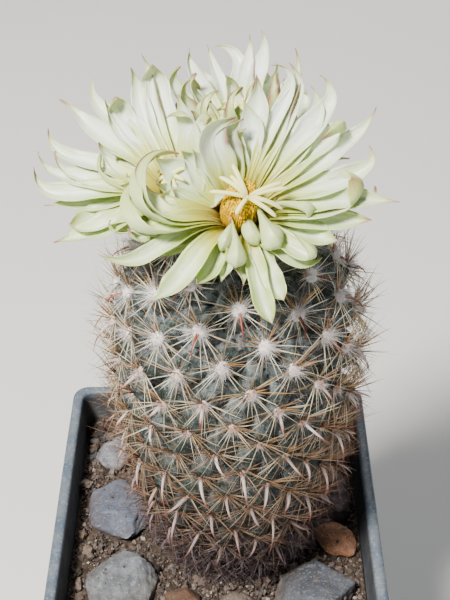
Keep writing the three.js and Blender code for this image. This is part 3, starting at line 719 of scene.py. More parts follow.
def settle(bm: bmesh.types.BMesh, name: str, finish: Optional[Material] = None) -> Piece:
    """Turns a finished bmesh into an object of the scene and frees it.

    Args:
        bm: The bmesh.
        name: Object name.
        finish: Material, if it gets one.

    Returns:
        The object.
    """
    mesh = bpy.data.meshes.new(name)
    bm.to_mesh(mesh)
    bm.free()
    return show(mesh, name, finish)


def fill_mesh(mesh: bpy.types.Mesh, places: np.ndarray, corners: np.ndarray, sizes: np.ndarray,
              flat: bool) -> None:
    """Fills a mesh with points and faces.

    Args:
        mesh: The empty mesh.
        places: Points in millimetres.
        corners: Point of each face corner, face after face.
        sizes: Number of corners of each face.
        flat: Whether the faces are shown flat.
    """
    mesh.vertices.add(len(places))
    mesh.vertices.foreach_set("co", np.ascontiguousarray(places * MM, np.float32).ravel())
    mesh.loops.add(len(corners))
    mesh.loops.foreach_set("vertex_index", corners)
    mesh.polygons.add(len(sizes))
    mesh.polygons.foreach_set("loop_start", np.concatenate([[0], np.cumsum(sizes)[:-1]]).astype(np.int32))
    mesh.polygons.foreach_set("use_smooth", np.full(len(sizes), not flat, bool))
    mesh.update(calc_edges=True)
    mesh.validate()


def stamp(name: str, pattern: Pattern, places: np.ndarray, own: dict, finish: Material,
          flat: bool = False) -> Piece:
    """Joins many shaped copies of a pattern into one object.

    Args:
        name: Object name.
        pattern: The copied shape.
        places: Copies by corners by three, in millimetres.
        own: Values by name, copies by corners, or one for each copy.
        finish: Material.
        flat: Whether the faces are shown flat.

    Returns:
        The joined object.
    """
    copies, count = places.shape[:2]
    mesh = bpy.data.meshes.new(name)
    sizes = np.array([len(f) for f in pattern.faces], np.int32)
    corners = np.concatenate([np.array(f, np.int32) for f in pattern.faces])
    shift = (np.arange(copies, dtype=np.int32) * count)[:, None]
    fill_mesh(mesh, places.reshape(-1, 3), (corners[None] + shift).ravel(), np.tile(sizes, copies), flat)
    for key, values in own.items():
        full = np.broadcast_to(values if values.ndim == 2 else values[:, None], (copies, count))
        mesh.attributes.new(key, "FLOAT", "POINT").data.foreach_set(
            "value", np.ascontiguousarray(full, np.float32).ravel())
    return show(mesh, name, finish)


def bend_copies(pattern: Pattern, root: np.ndarray, way: np.ndarray, pull: np.ndarray,
                length: np.ndarray, radius: np.ndarray) -> np.ndarray:
    """Places of shafts that start along one direction and are pulled towards another.

    Args:
        pattern: Shaft from z = 0 to z = 1.
        root: Foot of each copy.
        way: Starting direction of each copy.
        pull: Sideways move of each tip, as a share of its length.
        length: Length of each copy.
        radius: Radius at each foot.

    Returns:
        Copies by corners by three.
    """
    x, y, t = pattern.places.T
    way = unit(way)
    side = unit(np.cross(way, np.where(np.abs(way[:, 2:]) > 0.9, [[1.0, 0, 0]], [[0, 0, 1.0]])))
    up = np.cross(side, way)
    line = way[:, None] * (t * length[:, None])[..., None]
    line = line + pull[:, None] * ((t * t) * length[:, None])[..., None]
    ring = side[:, None] * x[None, :, None] + up[:, None] * y[None, :, None]
    return root[:, None] + line + ring * radius[:, None, None]


def dress(piece: Piece, slot: str, *nodes: str) -> Piece:
    """Lets a piece ride on the body and stand for the nodes named.

    Args:
        piece: The piece.
        slot: Not used.
        nodes: Nodes whose place it takes.

    Returns:
        The same piece.
    """
    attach(piece, "root")
    if nodes:
        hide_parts(*nodes)
    LOG.info("%s: %d faces", piece.name, len(piece.data.polygons))
    return piece


def tree_of(*pieces: Piece) -> BVHTree:
    """Search tree over the faces of some pieces, in millimetres."""
    places, faces = [], []
    for piece in pieces:
        start = len(places)
        places.extend((v.co / MM)[:] for v in piece.data.vertices)
        faces.extend([start + i for i in f.vertices] for f in piece.data.polygons)
    return BVHTree.FromPolygons(places, faces)


@dataclass
class SquarePot:
    """Tapered square plastic pot with a collar, a thick lip and drain holes."""

    rim_half: float = 35.0
    base_half: float = 25.0
    lip: float = 2.5
    collar: float = 11.0
    wall: float = 1.3
    floor: float = 1.6
    drain_radius: float = 3.0
    drain_offset: float = 15.0
    straight: int = 14
    round: int = 9

    def outline(self, half: float, corner: float) -> np.ndarray:
        """Points of a rounded square, counter-clockwise.

        Args:
            half: Half the width.
            corner: Corner radius.

        Returns:
            Rows of x and y.
        """
        rows = []
        signs = ((1, 1), (-1, 1), (-1, -1), (1, -1), (1, 1))
        for q in range(4):
            centre, after = (np.array(signs[k]) * (half - corner) for k in (q, q + 1))
            turns = np.radians(90 * q + np.linspace(0, 90, self.round))
            arc = centre + corner * np.stack([np.cos(turns), np.sin(turns)], 1)
            turn = math.radians(90 * q + 90)
            goal = after + corner * np.array([math.cos(turn), math.sin(turn)])
            steps = np.linspace(0, 1, self.straight + 2)[1:-1, None]
            rows.append(np.concatenate([arc, arc[-1] + (goal - arc[-1]) * steps]))
        return np.concatenate(rows)

    def inside_half(self, z: float) -> float:
        """Half width of the inside at a height."""
        step = POT_HEIGHT - self.collar
        return float(pick(((self.floor, self.base_half - self.wall), (step, 30.2), (step + 1.5, 31.6),
                           (POT_HEIGHT - 2, self.rim_half - self.lip)), z))

    def inside_corner(self, z: float) -> float:
        """Corner radius of the inside at a height."""
        return 3.7 + (2.4 - 3.7) * z / POT_HEIGHT

    def rows(self) -> list[tuple[float, float, float, float]]:
        """Lists the pot's outline from the underside over the lip to the inner floor.

        Returns:
            Rows of height, half width, corner radius and share that counts as inside.
        """
        top, step = POT_HEIGHT, POT_HEIGHT - self.collar
        outer = [(0, 0.02, 0.01, 0), (0, 12, 3, 0), (0, 24.2, 4.8, 0), (0.25, 24.75, 5, 0), (0.8, 25, 5, 0)]
        outer += [(z, 25 + 6.5 * z / step, 5 - z / step, 0) for z in np.linspace(6, step - 1, 8)]
        outer += [(step - 0.1, 31.5, 4, 0), (step, 31.9, 3.9, 0), (step + 0.08, 32.8, 3.7, 0),
                  (step + 0.45, 33.1, 3.6, 0), (step + 4, 33.5, 3.5, 0), (top - 3.2, 34, 3.4, 0),
                  (top - 2.9, 34.3, 3.5, 0), (top - 2.6, 34.8, 3.6, 0), (top - 2.2, 34.96, 3.6, 0),
                  (top - 1, 35, 3.6, 0), (top - 0.45, 34.85, 3.5, 0), (top - 0.12, 34.5, 3.3, 0),
                  (top, 34.0, 3.1, 0), (top - 0.02, 33.3, 2.8, 0), (top - 0.15, 32.8, 2.6, 0),
                  (top - 0.6, 32.5, 2.4, 0.4)]
        inner = [(top - 2, 32.5), (top - 5, self.inside_half(top - 5)), (step + 1.5, 31.6), (step, 30.2)]
        inner += [(z, self.inside_half(z)) for z in np.linspace(step - 6, self.floor + 1, 6)]
        rows = outer + [(z, half, self.inside_corner(z), 1.0) for z, half in inner]
        rows += [(self.floor, self.inside_half(self.floor) - 0.6, 3.2, 1), (self.floor, 12, 3, 1),
                 (self.floor, 0.02, 0.01, 1)]
        return rows

    def build(self) -> Piece:
        """Makes the pot and cuts its drain holes.

        Returns:
            The pot.
        """
        rows, around = self.rows(), 4 * (self.round + self.straight)
        rings = np.stack([np.column_stack([self.outline(h, c), np.full(around, z)]) for z, h, c, _ in rows])
        warp = ripple(rings.reshape(-1, 3), 26, 5).reshape(rings.shape[:2])
        rings[..., :2] *= 1 + 0.0022 * warp[..., None] - 0.0018
        inside = np.repeat([row[3] for row in rows], around)
        pot = closed_rings("square_pot", rings, {"inside": inside}, PotPlastic().make())
        radius, away = self.drain_radius * MM, self.drain_offset * MM
        for sx, sy in ((1, 1), (-1, 1), (-1, -1), (1, -1)):
            bm = bmesh.new()
            bmesh.ops.create_cone(bm, cap_ends=True, segments=28, radius1=radius, radius2=radius,
                                  depth=6 * MM)
            bmesh.ops.translate(bm, verts=bm.verts, vec=(sx * away, sy * away, 0))
            apply_cut(pot, settle(bm, "drain_drill"))
        return dress(pot, "pot_plastic", "pot")


def apply_cut(piece: Piece, cutter: Piece) -> None:
    """Cuts one object out of another and removes the cutter.

    Args:
        piece: What is cut.
        cutter: What is taken away.
    """
    cut = piece.modifiers.new("cut", "BOOLEAN")
    cut.operation = "DIFFERENCE"
    cut.solver = "EXACT"
    cut.object = cutter
    bpy.context.view_layer.update()
    shape = bpy.data.meshes.new_from_object(piece.evaluated_get(bpy.context.evaluated_depsgraph_get()))
    piece.modifiers.clear()
    piece.data = shape
    bpy.data.objects.remove(cutter)


def closed_rings(name: str, rings: np.ndarray, own: dict, finish: Material) -> Piece:
    """Closed skin through rings of points; the first and last ring close to a point.

    Args:
        name: Object name.
        rings: Rings by points by three, in millimetres.
        own: Values by name, one for each point, ring after ring.
        finish: Material.

    Returns:
        The object.
    """
    count, around = rings.shape[:2]
    bm = bmesh.new()
    bmesh.ops.create_grid(bm, x_segments=around, y_segments=count - 1, size=1)
    bm.verts.ensure_lookup_table()
    grid = np.array([v.co[:2] for v in bm.verts])
    column = np.rint((grid[:, 0] + 1) / 2 * around).astype(int)
    row = np.rint((grid[:, 1] + 1) / 2 * (count - 1)).astype(int)
    places = rings[row, column % around]
    order = row * around + column % around
    layers = {key: bm.verts.layers.float.new(key) for key in own}
    for v, place, index in zip(bm.verts, places, order):
        v.co = place * MM
        for key, layer in layers.items():
            v[layer] = own[key][index]
    bmesh.ops.remove_doubles(bm, verts=bm.verts, dist=1e-8)
    for pole in (0, count - 1):
        centre = rings[pole].mean(0) * MM
        near = [v for v in bm.verts if (v.co - Vector(centre)).length < 0.00005]
        bmesh.ops.pointmerge(bm, verts=near, merge_co=centre)
    bmesh.ops.recalc_face_normals(bm, faces=bm.faces)
    for f in bm.faces:
        f.smooth = True
    return settle(bm, name, finish)


@dataclass
class SoilBed:
    """Coarse mineral soil around the stem, with loose grains on top."""

    pot: SquarePot
    hole_radius: float = 15.2
    top_rings: int = 56
    small_grains: int = 9200
    large_grains: int = 560

    def bed(self) -> Piece:
        """Makes the body of soil, with a plain hole for the stem and its root.

        Returns:
            The soil.
        """
        ref = self.pot.outline(1.0, 0.1)
        turns = np.arctan2(ref[:, 1], ref[:, 0])

        def wall(z: float) -> np.ndarray:
            """Ring against the pot's wall at a height."""
            half = self.pot.inside_half(z) - 0.3
            flat = self.pot.outline(half, self.pot.inside_corner(z))
            return np.column_stack([flat, np.full(len(flat), z)])

        def hole(depth: float, radius: float) -> np.ndarray:
            """Ring of the hole, at a height from the soil's level."""
            return np.column_stack([STEM_X + radius * np.cos(turns), radius * np.sin(turns),
                                    np.full(len(turns), SOIL_LEVEL + depth)])

        rows = [hole(-52.6, 0.01), hole(-52, 1.4), hole(-34, 3.6), hole(-18, 6.6), hole(-8, 10.1),
                hole(-2.8, 13.6), hole(-2.2, 14.7)]
        inner, outer = hole(0, self.hole_radius), wall(SOIL_LEVEL)
        for share in np.linspace(0, 1, self.top_rings) ** 0.9:
            ring = inner + (outer - inner) * share
            fine = 0.42 * ripple(ring, 1.7, 3) + 0.25 * ripple(ring, 0.8, 8) + 0.5 * ripple(ring, 5.5, 12)
            ring[:, 2] = soil_height(ring[:, 0], ring[:, 1]) + fine * min(1.0, 0.4 + 5 * (1 - share)) - 0.15
            rows.append(ring)
        rows += [wall(z) for z in (SOIL_LEVEL - 1.2, POT_HEIGHT - self.pot.collar + 1.5,
                                   POT_HEIGHT - self.pot.collar, 30, self.pot.floor + 0.5)]
        floor = wall(self.pot.floor + 0.3)
        rows += [floor, floor * [0.5, 0.5, 1], floor * [0.0002, 0.0002, 1]]
        return dress(closed_rings("soil_bed", np.stack(rows), {}, SoilDirt().make()), "soil", "soil")

    def grains(self, stones: list[Piece]) -> list[Piece]:
        """Scatters sand and gravel over the bed, off the stones and the stem.

        Args:
            stones: The loose stones.

        Returns:
            The pieces of gravel and sand.
        """
        tree = tree_of(*stones)
        random = np.random.default_rng(11)
        made = []
        for name, count, low, high, fine in (("grit_sand", self.small_grains, 0.15, 0.55, 0),
                                             ("grit_gravel", self.large_grains, 0.4, 1.45, 2)):
            spots = []
            while len(spots) < count:
                x, y = random.uniform(-31, 31, 2)
                size = low + (high - low) * random.random() ** 3
                if math.hypot(x - STEM_X, y) < self.hole_radius + size * 0.7 + 0.3:
                    continue
                if max(abs(x), abs(y)) > 31.6 - size or abs(x) + abs(y) > 60 - size:
                    continue
                hit = tree.ray_cast(Vector((x, y, 80)), Vector((0, 0, -1)))[0]
                if hit is not None and hit.z > SOIL_LEVEL - 1 and (size > 0.5 or random.random() > 0.02):
                    continue
                z = soil_height(x, y) + 0.28 * size if hit is None else hit.z + 0.1
                spots.append((x, y, float(z), size))
            spots = np.array(spots)
            pattern = Patterns.grain(fine, 7 + fine)
            turn = random.normal(size=(count, 3, 3))
            turn, _ = np.linalg.qr(turn)
            shape = random.uniform(0.55, 1.2, (count, 1, 3))
            corners = np.einsum("vj,nij->nvi", pattern.places, turn) * shape * spots[:, 3][:, None, None]
            corners *= 1 + 0.24 * random.uniform(-1, 1, corners.shape[:2])[..., None]
            made.append(dress(stamp(name, pattern, corners + spots[:, None, :3],
                                    {"tone": random.random(count)}, GritGrain().make(), True), "soil"))
        return made


@dataclass
class LooseStones:
    """Broken stones lying in the soil; each keeps the form of its solid, with a worn broken skin."""

    finishes: dict = field(default_factory=lambda: {
        "stone_light_grey": BrokenStone("light_grey_stone", "6f727c", "8d9098", "b0b3b9"),
        "stone_slate": BrokenStone("slate_stone", "4c5567", "677081", "949cab", 0.45),
        "stone_grey_front": BrokenStone("grey_stone", "5d6268", "7a7f84", "a09f98", 0.4),
        "stone_brown_front": BrokenStone("brown_stone", "4c3527", "6e4e38", "8a6850", 0.4),
        "stone_small_brown": BrokenStone("small_brown_stone", "5f5348", "7c7065", "9c9184"),
        "stone_purple": BrokenStone("purple_stone", "5f5058", "7a6870", "988a8e"),
        "stone_orange_chip": BrokenStone("orange_chip", "8f5c3f", "a97a5a", "cda98a", 0.5, "7a553d"),
        "stone_dark_front": BrokenStone("dark_stone", "3d4047", "565a62", "8a8d93", 0.45),
        "stone_back_left": BrokenStone("back_grey_stone", "585c64", "72767d", "94979b"),
        "stone_back_right": BrokenStone("back_brown_stone", "5c5045", "776a5d", "968b7e"),
    })
    slots: dict = field(default_factory=lambda: {
        "stone_brown_front": "stone_brown", "stone_small_brown": "stone_brown",
        "stone_back_right": "stone_brown", "stone_orange_chip": "stone_orange",
        "stone_purple": "stone_purple",
    })

    bevel: float = 0.0002
    longest_edge: float = 0.00062
    smooth_angle: float = 24.0

    @staticmethod
    def chipped(places: np.ndarray, seed: int) -> np.ndarray:
        """Flattens a stone's corners against broken planes set a little inside its form.

        Args:
            places: The stone's points.
            seed: Chooses the planes.

        Returns:
            The moved points.
        """
        random = np.random.default_rng(300 + seed)
        middle = (places.max(0) + places.min(0)) / 2
        for way in unit(random.normal(size=(6, 3))):
            along = (places - middle) @ way
            over = np.maximum(0, along - random.uniform(0.88, 0.97) * along.max())
            places = places - way * over[:, None]
        return places

    def build(self) -> list[Piece]:
        """Refines a merged copy of each stone's solid.

        Returns:
            The stones.
        """
        made = []
        for seed, (node, finish) in enumerate(self.finishes.items()):
            bm = bmesh.new()
            bm.from_mesh(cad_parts[node].data)
            bmesh.ops.remove_doubles(bm, verts=bm.verts, dist=1e-6)
            bmesh.ops.dissolve_limit(bm, angle_limit=0.06, verts=bm.verts, edges=bm.edges)
            bmesh.ops.bevel(bm, geom=bm.edges[:], offset=self.bevel, segments=1, profile=0.5,
                            affect="EDGES", material=-1)
            bmesh.ops.triangulate(bm, faces=bm.faces)
            for _ in range(4):
                longest = [e for e in bm.edges if e.calc_length() > self.longest_edge]
                bmesh.ops.subdivide_edges(bm, edges=longest, cuts=1, use_grid_fill=True)
                bmesh.ops.triangulate(bm, faces=bm.faces)
            bm.normal_update()
            places = self.chipped(np.array([v.co[:] for v in bm.verts]) / MM, seed)
            relief = 0.1 * ripple(places, 1.5, 20 + seed) + 0.09 * ripple(places, 0.5, 40 + seed)
            ledges = 0.26 * np.round(1.3 * ripple(places * [1, 0.4, 2.6], 4.2, 60 + seed)) / 1.3
            pits = -0.3 * smooth(ripple(places, 1.7, 80 + seed), 0.4, 0.7)
            for v, place, height in zip(bm.verts, places, relief + ledges + pits):
                v.co = Vector(place * MM) + v.normal * height * MM
            for f in bm.faces:
                f.smooth = True
            piece = settle(bm, node + "_rough", finish.make())
            piece.data.set_sharp_from_angle(angle=math.radians(self.smooth_angle))
            made.append(dress(piece, self.slots.get(node, "stone_grey"), node))
        return made


@dataclass
class Areoles:
    """Areoles of the stem in golden-angle order from the top."""

    area: float = 65.0
    first_angle: float = 279.0
    young: int = 18
    steps: int = 850
    reach: float = 1.5
    tip: np.ndarray = field(init=False)
    out: np.ndarray = field(init=False)
    up: np.ndarray = field(init=False)
    side: np.ndarray = field(init=False)
    size: np.ndarray = field(init=False)
    height: np.ndarray = field(init=False)

    def __post_init__(self) -> None:
        """Places the areoles one by one on equal shares of the stem's surface."""
        z = STEM_HEIGHT * (1 - np.arange(self.steps + 1) / self.steps)
        r = pick(STEM_OUTLINE, z)
        grown = np.concatenate([[0], np.cumsum(np.pi * (r[1:] + r[:-1]) * np.hypot(np.diff(r), np.diff(z)))])
        used, number, rows = 0.0, 0, []
        while True:
            young = min(1.0, 0.6 + 0.4 * number / self.young)
            cell = self.area * young * (1 - 0.4 * used / grown[-1])
            used += cell / 2
            if used > grown[-1]:
                break
            level = float(np.interp(used, grown, z))
            high, low = min(STEM_HEIGHT, level + self.reach), max(0.0, level - self.reach)
            rise = pick(STEM_OUTLINE, level + self.reach) - pick(STEM_OUTLINE, level - self.reach)
            slope = float(rise) / (high - low)
            turn = math.radians(self.first_angle - GOLDEN * number)
            lean = math.atan(-slope)
            c, s = math.cos(turn), math.sin(turn)
            out = (c * math.cos(lean), s * math.cos(lean), math.sin(lean))
            up = (-c * math.sin(lean), -s * math.sin(lean), math.cos(lean))
            radius = float(pick(STEM_OUTLINE, level))
            tip = (STEM_X + radius * c, radius * s, SOIL_LEVEL + level)
            rows.append((tip, out, up, math.sqrt(cell / self.area), level))
            used += cell / 2
            number += 1
        self.tip, self.out, self.up = (np.array([row[k] for row in rows]) for k in range(3))
        self.side = np.cross(self.up, self.out)
        self.size = np.array([row[3] for row in rows])
        self.height = np.array([row[4] for row in rows]) / STEM_HEIGHT

    def age(self) -> np.ndarray:
        """Age from 0 for the youngest areoles to 1 for the lowest."""
        return np.clip(1.06 - self.height, 0, 1)


@dataclass
class CactusStem:
    """Stem skin with its tubercles, areole wool, radial and central spines."""

    areoles: Areoles
    depth: float = 4.4
    radials: int = 21
    around: int = 250
    rings: int = 204
    outline_steps: int = 2000
    rounding: int = 40
    batch: int = 4000
    old_count: int = 1900
    axil_hairs: int = 4800
    no_central: tuple = (34, 37, 42, 47, 50, 55)
    sure_central: tuple = (21, 26, 29, 31, 32, 60, 63, 65, 71, 78, 86)
    valleys: np.ndarray = field(init=False)
    valley_out: np.ndarray = field(init=False)

    @staticmethod
    def plant(name: str, pattern: Pattern, keep: np.ndarray, shape: tuple, looks: tuple,
              finish: SpineHorn) -> Piece:
        """Sets the spines that stay.

        Args:
            name: Object name.
            pattern: Shape of one spine.
            keep: Which spines stay.
            shape: Root, direction, pull, length and radius of every spine.
            looks: Tone and age of every spine.
            finish: Finish of the spines.

        Returns:
            The spines as one piece.
        """
        places = bend_copies(pattern, *(part[keep] for part in shape))
        own = {"along": np.repeat(pattern.places[None, :, 2], keep.sum(), 0)}
        own.update(tone=looks[0][keep], age=looks[1][keep])
        return dress(stamp(name, pattern, places, own, finish.make()), "cactus_skin")

    def skin(self) -> Piece:
        """Makes the tubercled skin with the neck and tap root below.

        Returns:
            The skin.
        """
        z = STEM_HEIGHT * (1 - np.linspace(0, 1, self.outline_steps))
        r = pick(STEM_OUTLINE, z)
        for _ in range(self.rounding):
            r[1:-1] = (r[:-2] + r[1:-1] * 2 + r[2:]) / 4
        along = np.concatenate([[0], np.cumsum(np.hypot(np.diff(z), np.diff(r)))])
        steps = np.linspace(0, along[-1], self.rings)
        z, r = np.interp(steps, along, z), np.interp(steps, along, r)
        nz, nr = -np.gradient(r, steps), np.gradient(z, steps)
        turns = 2 * np.pi * np.arange(self.around) / self.around
        c, s = np.cos(turns), np.sin(turns)
        level, steep = (np.repeat(q[:, None], self.around, 1) for q in (SOIL_LEVEL + z, -nz))
        base = np.stack([STEM_X + r[:, None] * c, r[:, None] * s, level], 2)
        normal = unit(np.stack([-nr[:, None] * c, -nr[:, None] * s, steep], 2))
        flat = base.reshape(-1, 3)
        ratio, near = np.empty(len(flat)), np.empty(len(flat), int)
        for start in range(0, len(flat), self.batch):
            part = slice(start, start + self.batch)
            gap = np.linalg.norm(flat[part, None] - self.areoles.tip[None], axis=2)
            order = np.argpartition(gap, 2, axis=1)[:, :2]
            two = np.take_along_axis(gap, order, 1)
            near[part] = order[np.arange(len(order)), two.argmin(1)]
            ratio[part] = 2 * two.min(1) / (two.sum(1) + 1e-9)
        size = self.areoles.size[near]
        sink = self.depth * size * (0.16 * ratio ** 2 + 0.84 * ratio ** 2.6)
        sink *= 1 - 0.6 * smooth(SOIL_LEVEL + 3 - flat[:, 2], 0, 3)
        sink += 0.22 * ripple(flat, 3.1, 4) + 0.1 * ripple(flat, 1.1, 6)
        outward = normal.reshape(-1, 3)
        outward *= np.sign((outward * (flat - [STEM_X, 0, SOIL_LEVEL + 40])).sum(1))[:, None]
        flat = flat - outward * sink[:, None]
        woolly = (ratio > 0.78) & (flat[:, 2] > SOIL_LEVEL + 30) & (ripple(flat, 5, 14) > 0.05)
        self.valleys, self.valley_out = flat[woolly], outward[woolly]
        rings = flat.reshape(base.shape)
        neck = ((-1, 14.6), (-2.2, 13.8), (-5, 11), (-8, 9.3), (-18, 5.9), (-34, 2.9), (-50, 1.1),
                (-51.8, 0.02))
        lower = np.stack([np.column_stack([STEM_X + q * c, q * s, np.full(self.around, SOIL_LEVEL + h)])
                          for h, q in neck])
        rings = np.concatenate([rings, lower])[::-1]
        tail = len(neck) * self.around
        axil = np.concatenate([ratio, np.ones(tail)]).reshape(len(rings), -1)[::-1].ravel()
        level = np.concatenate([(base[..., 2].ravel() - SOIL_LEVEL) / STEM_HEIGHT, np.zeros(tail)])
        level = level.reshape(len(rings), -1)[::-1].ravel()
        piece = closed_rings("cactus_skin", rings, {"axil": axil, "height": level}, CactusSkin().make())
        return dress(piece, "cactus_skin", "cactus_stem")

    def heading(self, turn: np.ndarray, rise: np.ndarray, which: np.ndarray) -> np.ndarray:
        """Directions at a turn about an areole and a rise from its skin, in radians."""
        a = self.areoles
        flat = a.side[which] * np.cos(turn)[:, None] + a.up[which] * np.sin(turn)[:, None]
        return flat * np.cos(rise)[:, None] + a.out[which] * np.sin(rise)[:, None]

    def radial_spines(self, blocks: BVHTree) -> Piece:
        """Spreads the pale radials of every areole.

        Args:
            blocks: Search tree of what the spines keep clear of.

        Returns:
            The spines as one piece.
        """
        a, random = self.areoles, np.random.default_rng(21)
        which = np.repeat(np.arange(len(a.tip)), self.radials)
        place = np.tile(np.arange(self.radials), len(a.tip))
        start = random.random(len(a.tip)) * 0.4
        turn = 2 * np.pi * (place + start[which] + 0.55 * random.uniform(-1, 1, len(which))) / self.radials
        rise = np.radians(random.uniform(6, 40, len(which)) + 7 * np.sin(turn))
        way = self.heading(turn, rise, which)
        foot = self.heading(turn, np.zeros(len(which)), which)
        root = a.tip[which] + foot * (0.5 * a.size[which])[:, None] - a.out[which] * 0.5
        low = pick(((0, 0.72), (0.14, 0.86), (0.3, 1), (0.85, 1), (0.97, 0.75), (1, 0.6)), a.height[which])
        length = 9.5 * low * random.uniform(0.62, 1.12, len(which)) * (1 + 0.08 * np.sin(turn))
        pull = a.out[which] * random.uniform(-0.24, 0.06, len(which))[:, None]
        pull += np.cross(way, a.out[which]) * random.normal(0, 0.09, len(which))[:, None]
        length, keep = clear_length(root, way, length, blocks)
        tone = np.clip(0.5 + 0.24 * np.sin(turn) + random.normal(0, 0.24, len(which)), 0, 1)
        # Spines lower on the stem get a darker tone: partly age, partly painted shade of the light falling
        # off there.
        tone = np.clip(tone + 0.25 * (a.age()[which] - 0.3), 0, 1)
        radius = random.uniform(0.1, 0.172, len(which))
        age = np.clip(a.age()[which] + random.normal(0, 0.08, len(which)), 0, 1)
        finish = SpineHorn("radial_spine", "b9733a", "ece4c9", "9b7844", "7a4526", 0.72, 0.7)
        shape = (root, way, pull, length, radius)
        return self.plant("radial_spines", Patterns.needle(3, 2, 0), keep, shape, (tone, age), finish)

    def central_spines(self, blocks: BVHTree) -> list[Piece]:
        """Sets the stout hooked-down centrals and the thin brown spines above them.

        Args:
            blocks: Search tree of what the spines keep clear of.

        Returns:
            The two pieces.
        """
        a, random = self.areoles, np.random.default_rng(22)
        count = len(a.tip)
        every = np.arange(count)
        there = random.random(count) < np.where(a.height > 0.55, 0.6, 0.97)
        there[list(self.sure_central)] = True
        there[list(self.no_central)] = False
        turn = np.radians(-90 + random.normal(0, 24, count))
        rise = np.radians(random.uniform(50, 76, count))
        way = self.heading(turn, rise, every)
        down = self.heading(turn, np.full(count, -0.3), every)
        low = pick(((0, 0.66), (0.14, 0.86), (0.3, 1), (0.6, 0.94), (0.8, 0.82), (1, 0.7)), a.height)
        length = 9.4 * low * random.uniform(0.82, 1.14, count)
        root = a.tip - a.out * 0.4
        pull = (down - way) * random.uniform(0.3, 0.62, count)[:, None]
        length, keep = clear_length(root, way * 0.7 + down * 0.3, length, blocks)
        keep &= there
        stout = pick(((0, 0.85), (0.4, 1), (0.65, 0.92), (1, 0.8)), a.height)
        shape = (root, way, pull, length, random.uniform(0.34, 0.47, count) * stout)
        young = smooth(a.height, 0.64, 0.82)
        tone = np.clip(0.22 + 0.62 * young + random.normal(0, 0.12, count), 0, 1)
        finish = SpineHorn("central_spine", "a9603c", "ecdcdb", "8f4528", "7a2412", 0.46, 0.1)
        needle = Patterns.needle(7, 5, 0.06)
        made = [self.plant("central_spines", needle, keep, shape, (tone, a.age()), finish)]

        which = np.repeat(np.nonzero(a.height > 0.05)[0], 4)
        turn = np.radians(90 + random.normal(0, 40, len(which)))
        rise = np.radians(random.uniform(24, 60, len(which)))
        way = self.heading(turn, rise, which)
        root = a.tip[which] - a.out[which] * 0.4 + a.up[which] * 0.3
        low = pick(((0, 0.8), (0.3, 1), (0.9, 1), (1, 0.7)), a.height[which])
        length, keep = clear_length(root, way, random.uniform(5.5, 8.6, len(which)) * low, blocks)
        pull = a.out[which] * random.uniform(-0.14, 0.04, len(which))[:, None]
        shape = (root, way, pull, length, random.uniform(0.12, 0.18, len(which)))
        looks = (random.random(len(which)), a.age()[which])
        finish = SpineHorn("upper_spine", "a8692f", "b18246", "8a5530", "54281a", 0.5)
        made.append(self.plant("upper_spines", Patterns.needle(3, 2, 0), keep, shape, looks, finish))
        return made

    def old_spines(self, blocks: BVHTree) -> Piece:
        """Lays the dull tangle of the oldest spines around the foot of the stem.

        Args:
            blocks: Search tree of what the spines keep clear of.

        Returns:
            The spines as one piece.
        """
        random = np.random.default_rng(24)
        count = self.old_count
        turn = random.uniform(0, 2 * np.pi, count)
        high = 20 * random.random(count) ** 1.6 + 0.2
        out = np.stack([np.cos(turn), np.sin(turn), 0 * turn], 1)
        side = np.stack([-np.sin(turn), np.cos(turn), 0 * turn], 1)
        up = np.array([0, 0, 1.0])
        reach = pick(STEM_OUTLINE, high) - random.uniform(-0.2, 2.2, count)
        root = out * reach[:, None] + np.array([STEM_X, 0, SOIL_LEVEL]) + up * high[:, None]
        way = out * random.uniform(0.15, 1.0, (count, 1)) + side * random.normal(0, 0.9, (count, 1))
        way += up * random.normal(-0.1, 0.45, (count, 1))
        pull = side * random.normal(0, 0.22, (count, 1)) - up * random.uniform(0, 0.3, (count, 1))
        length, keep = clear_length(root, way, random.uniform(3.2, 6.6, count), blocks)
        shape = (root, way, pull, length, random.uniform(0.1, 0.19, count))
        return self.plant("old_spines", Patterns.needle(3, 2, 0), keep, shape,
                          (random.random(count), np.zeros(count)),
                          SpineHorn("old_spine", "2c2426", "5a4f57", "282125", "1a1518", 0.75))

    def wool(self, blocks: BVHTree) -> list[Piece]:
        """Fills the areoles with felt and loose wool, thick and white near the top, and the upper axils.

        Args:
            blocks: Search tree of the petals that the wool keeps clear of.

        Returns:
            Felt, loose wool and axil wool.
        """
        a, random = self.areoles, np.random.default_rng(23)
        reach = pick(((0, 0.55), (0.35, 0.75), (0.55, 1.1), (0.7, 1.8), (0.82, 2.4), (1, 2.6)), a.height)
        clear = np.array([blocks.find_nearest(Vector(t))[3] for t in a.tip])
        reach = np.minimum(reach, np.maximum(0.5, clear - 0.4))
        pattern = Patterns.grain(2, 31)
        ball = unit(pattern.places) * (1 + 0.14 * ripple(pattern.places, 0.4, 9))[:, None]
        wide, tall = reach * 0.56, reach * 0.46
        places = a.tip[:, None] - a.out[:, None] * 0.2
        for k, (way, size) in enumerate(((a.side, wide), (a.up, wide), (a.out, tall))):
            places = places + way[:, None] * (ball[None, :, k:k + 1] * size[:, None, None])
        rust = pick(((0, 0.4), (0.5, 1), (0.72, 0.9), (0.82, 0.25), (1, 0)), a.height)
        heart = smooth(ball[:, 2] + 0.3 * ball[:, 1], 0.35, 0.95)[None] * rust[:, None]
        age = pick(((0, 0), (0.25, 0.1), (0.5, 0.5), (1, 1)), a.age())
        finish = AreoleWool().make()
        own = {"age": age, "heart": heart}
        made = [dress(stamp("areole_felt", pattern, places, own, finish), "cactus_skin")]
        hair = Patterns.needle(3, 1, 0)
        number = np.rint(pick(((0, 10), (0.4, 18), (0.58, 44), (0.7, 115), (0.8, 185), (1, 185)), a.height))
        which = np.repeat(np.arange(len(a.tip)), number.astype(int))
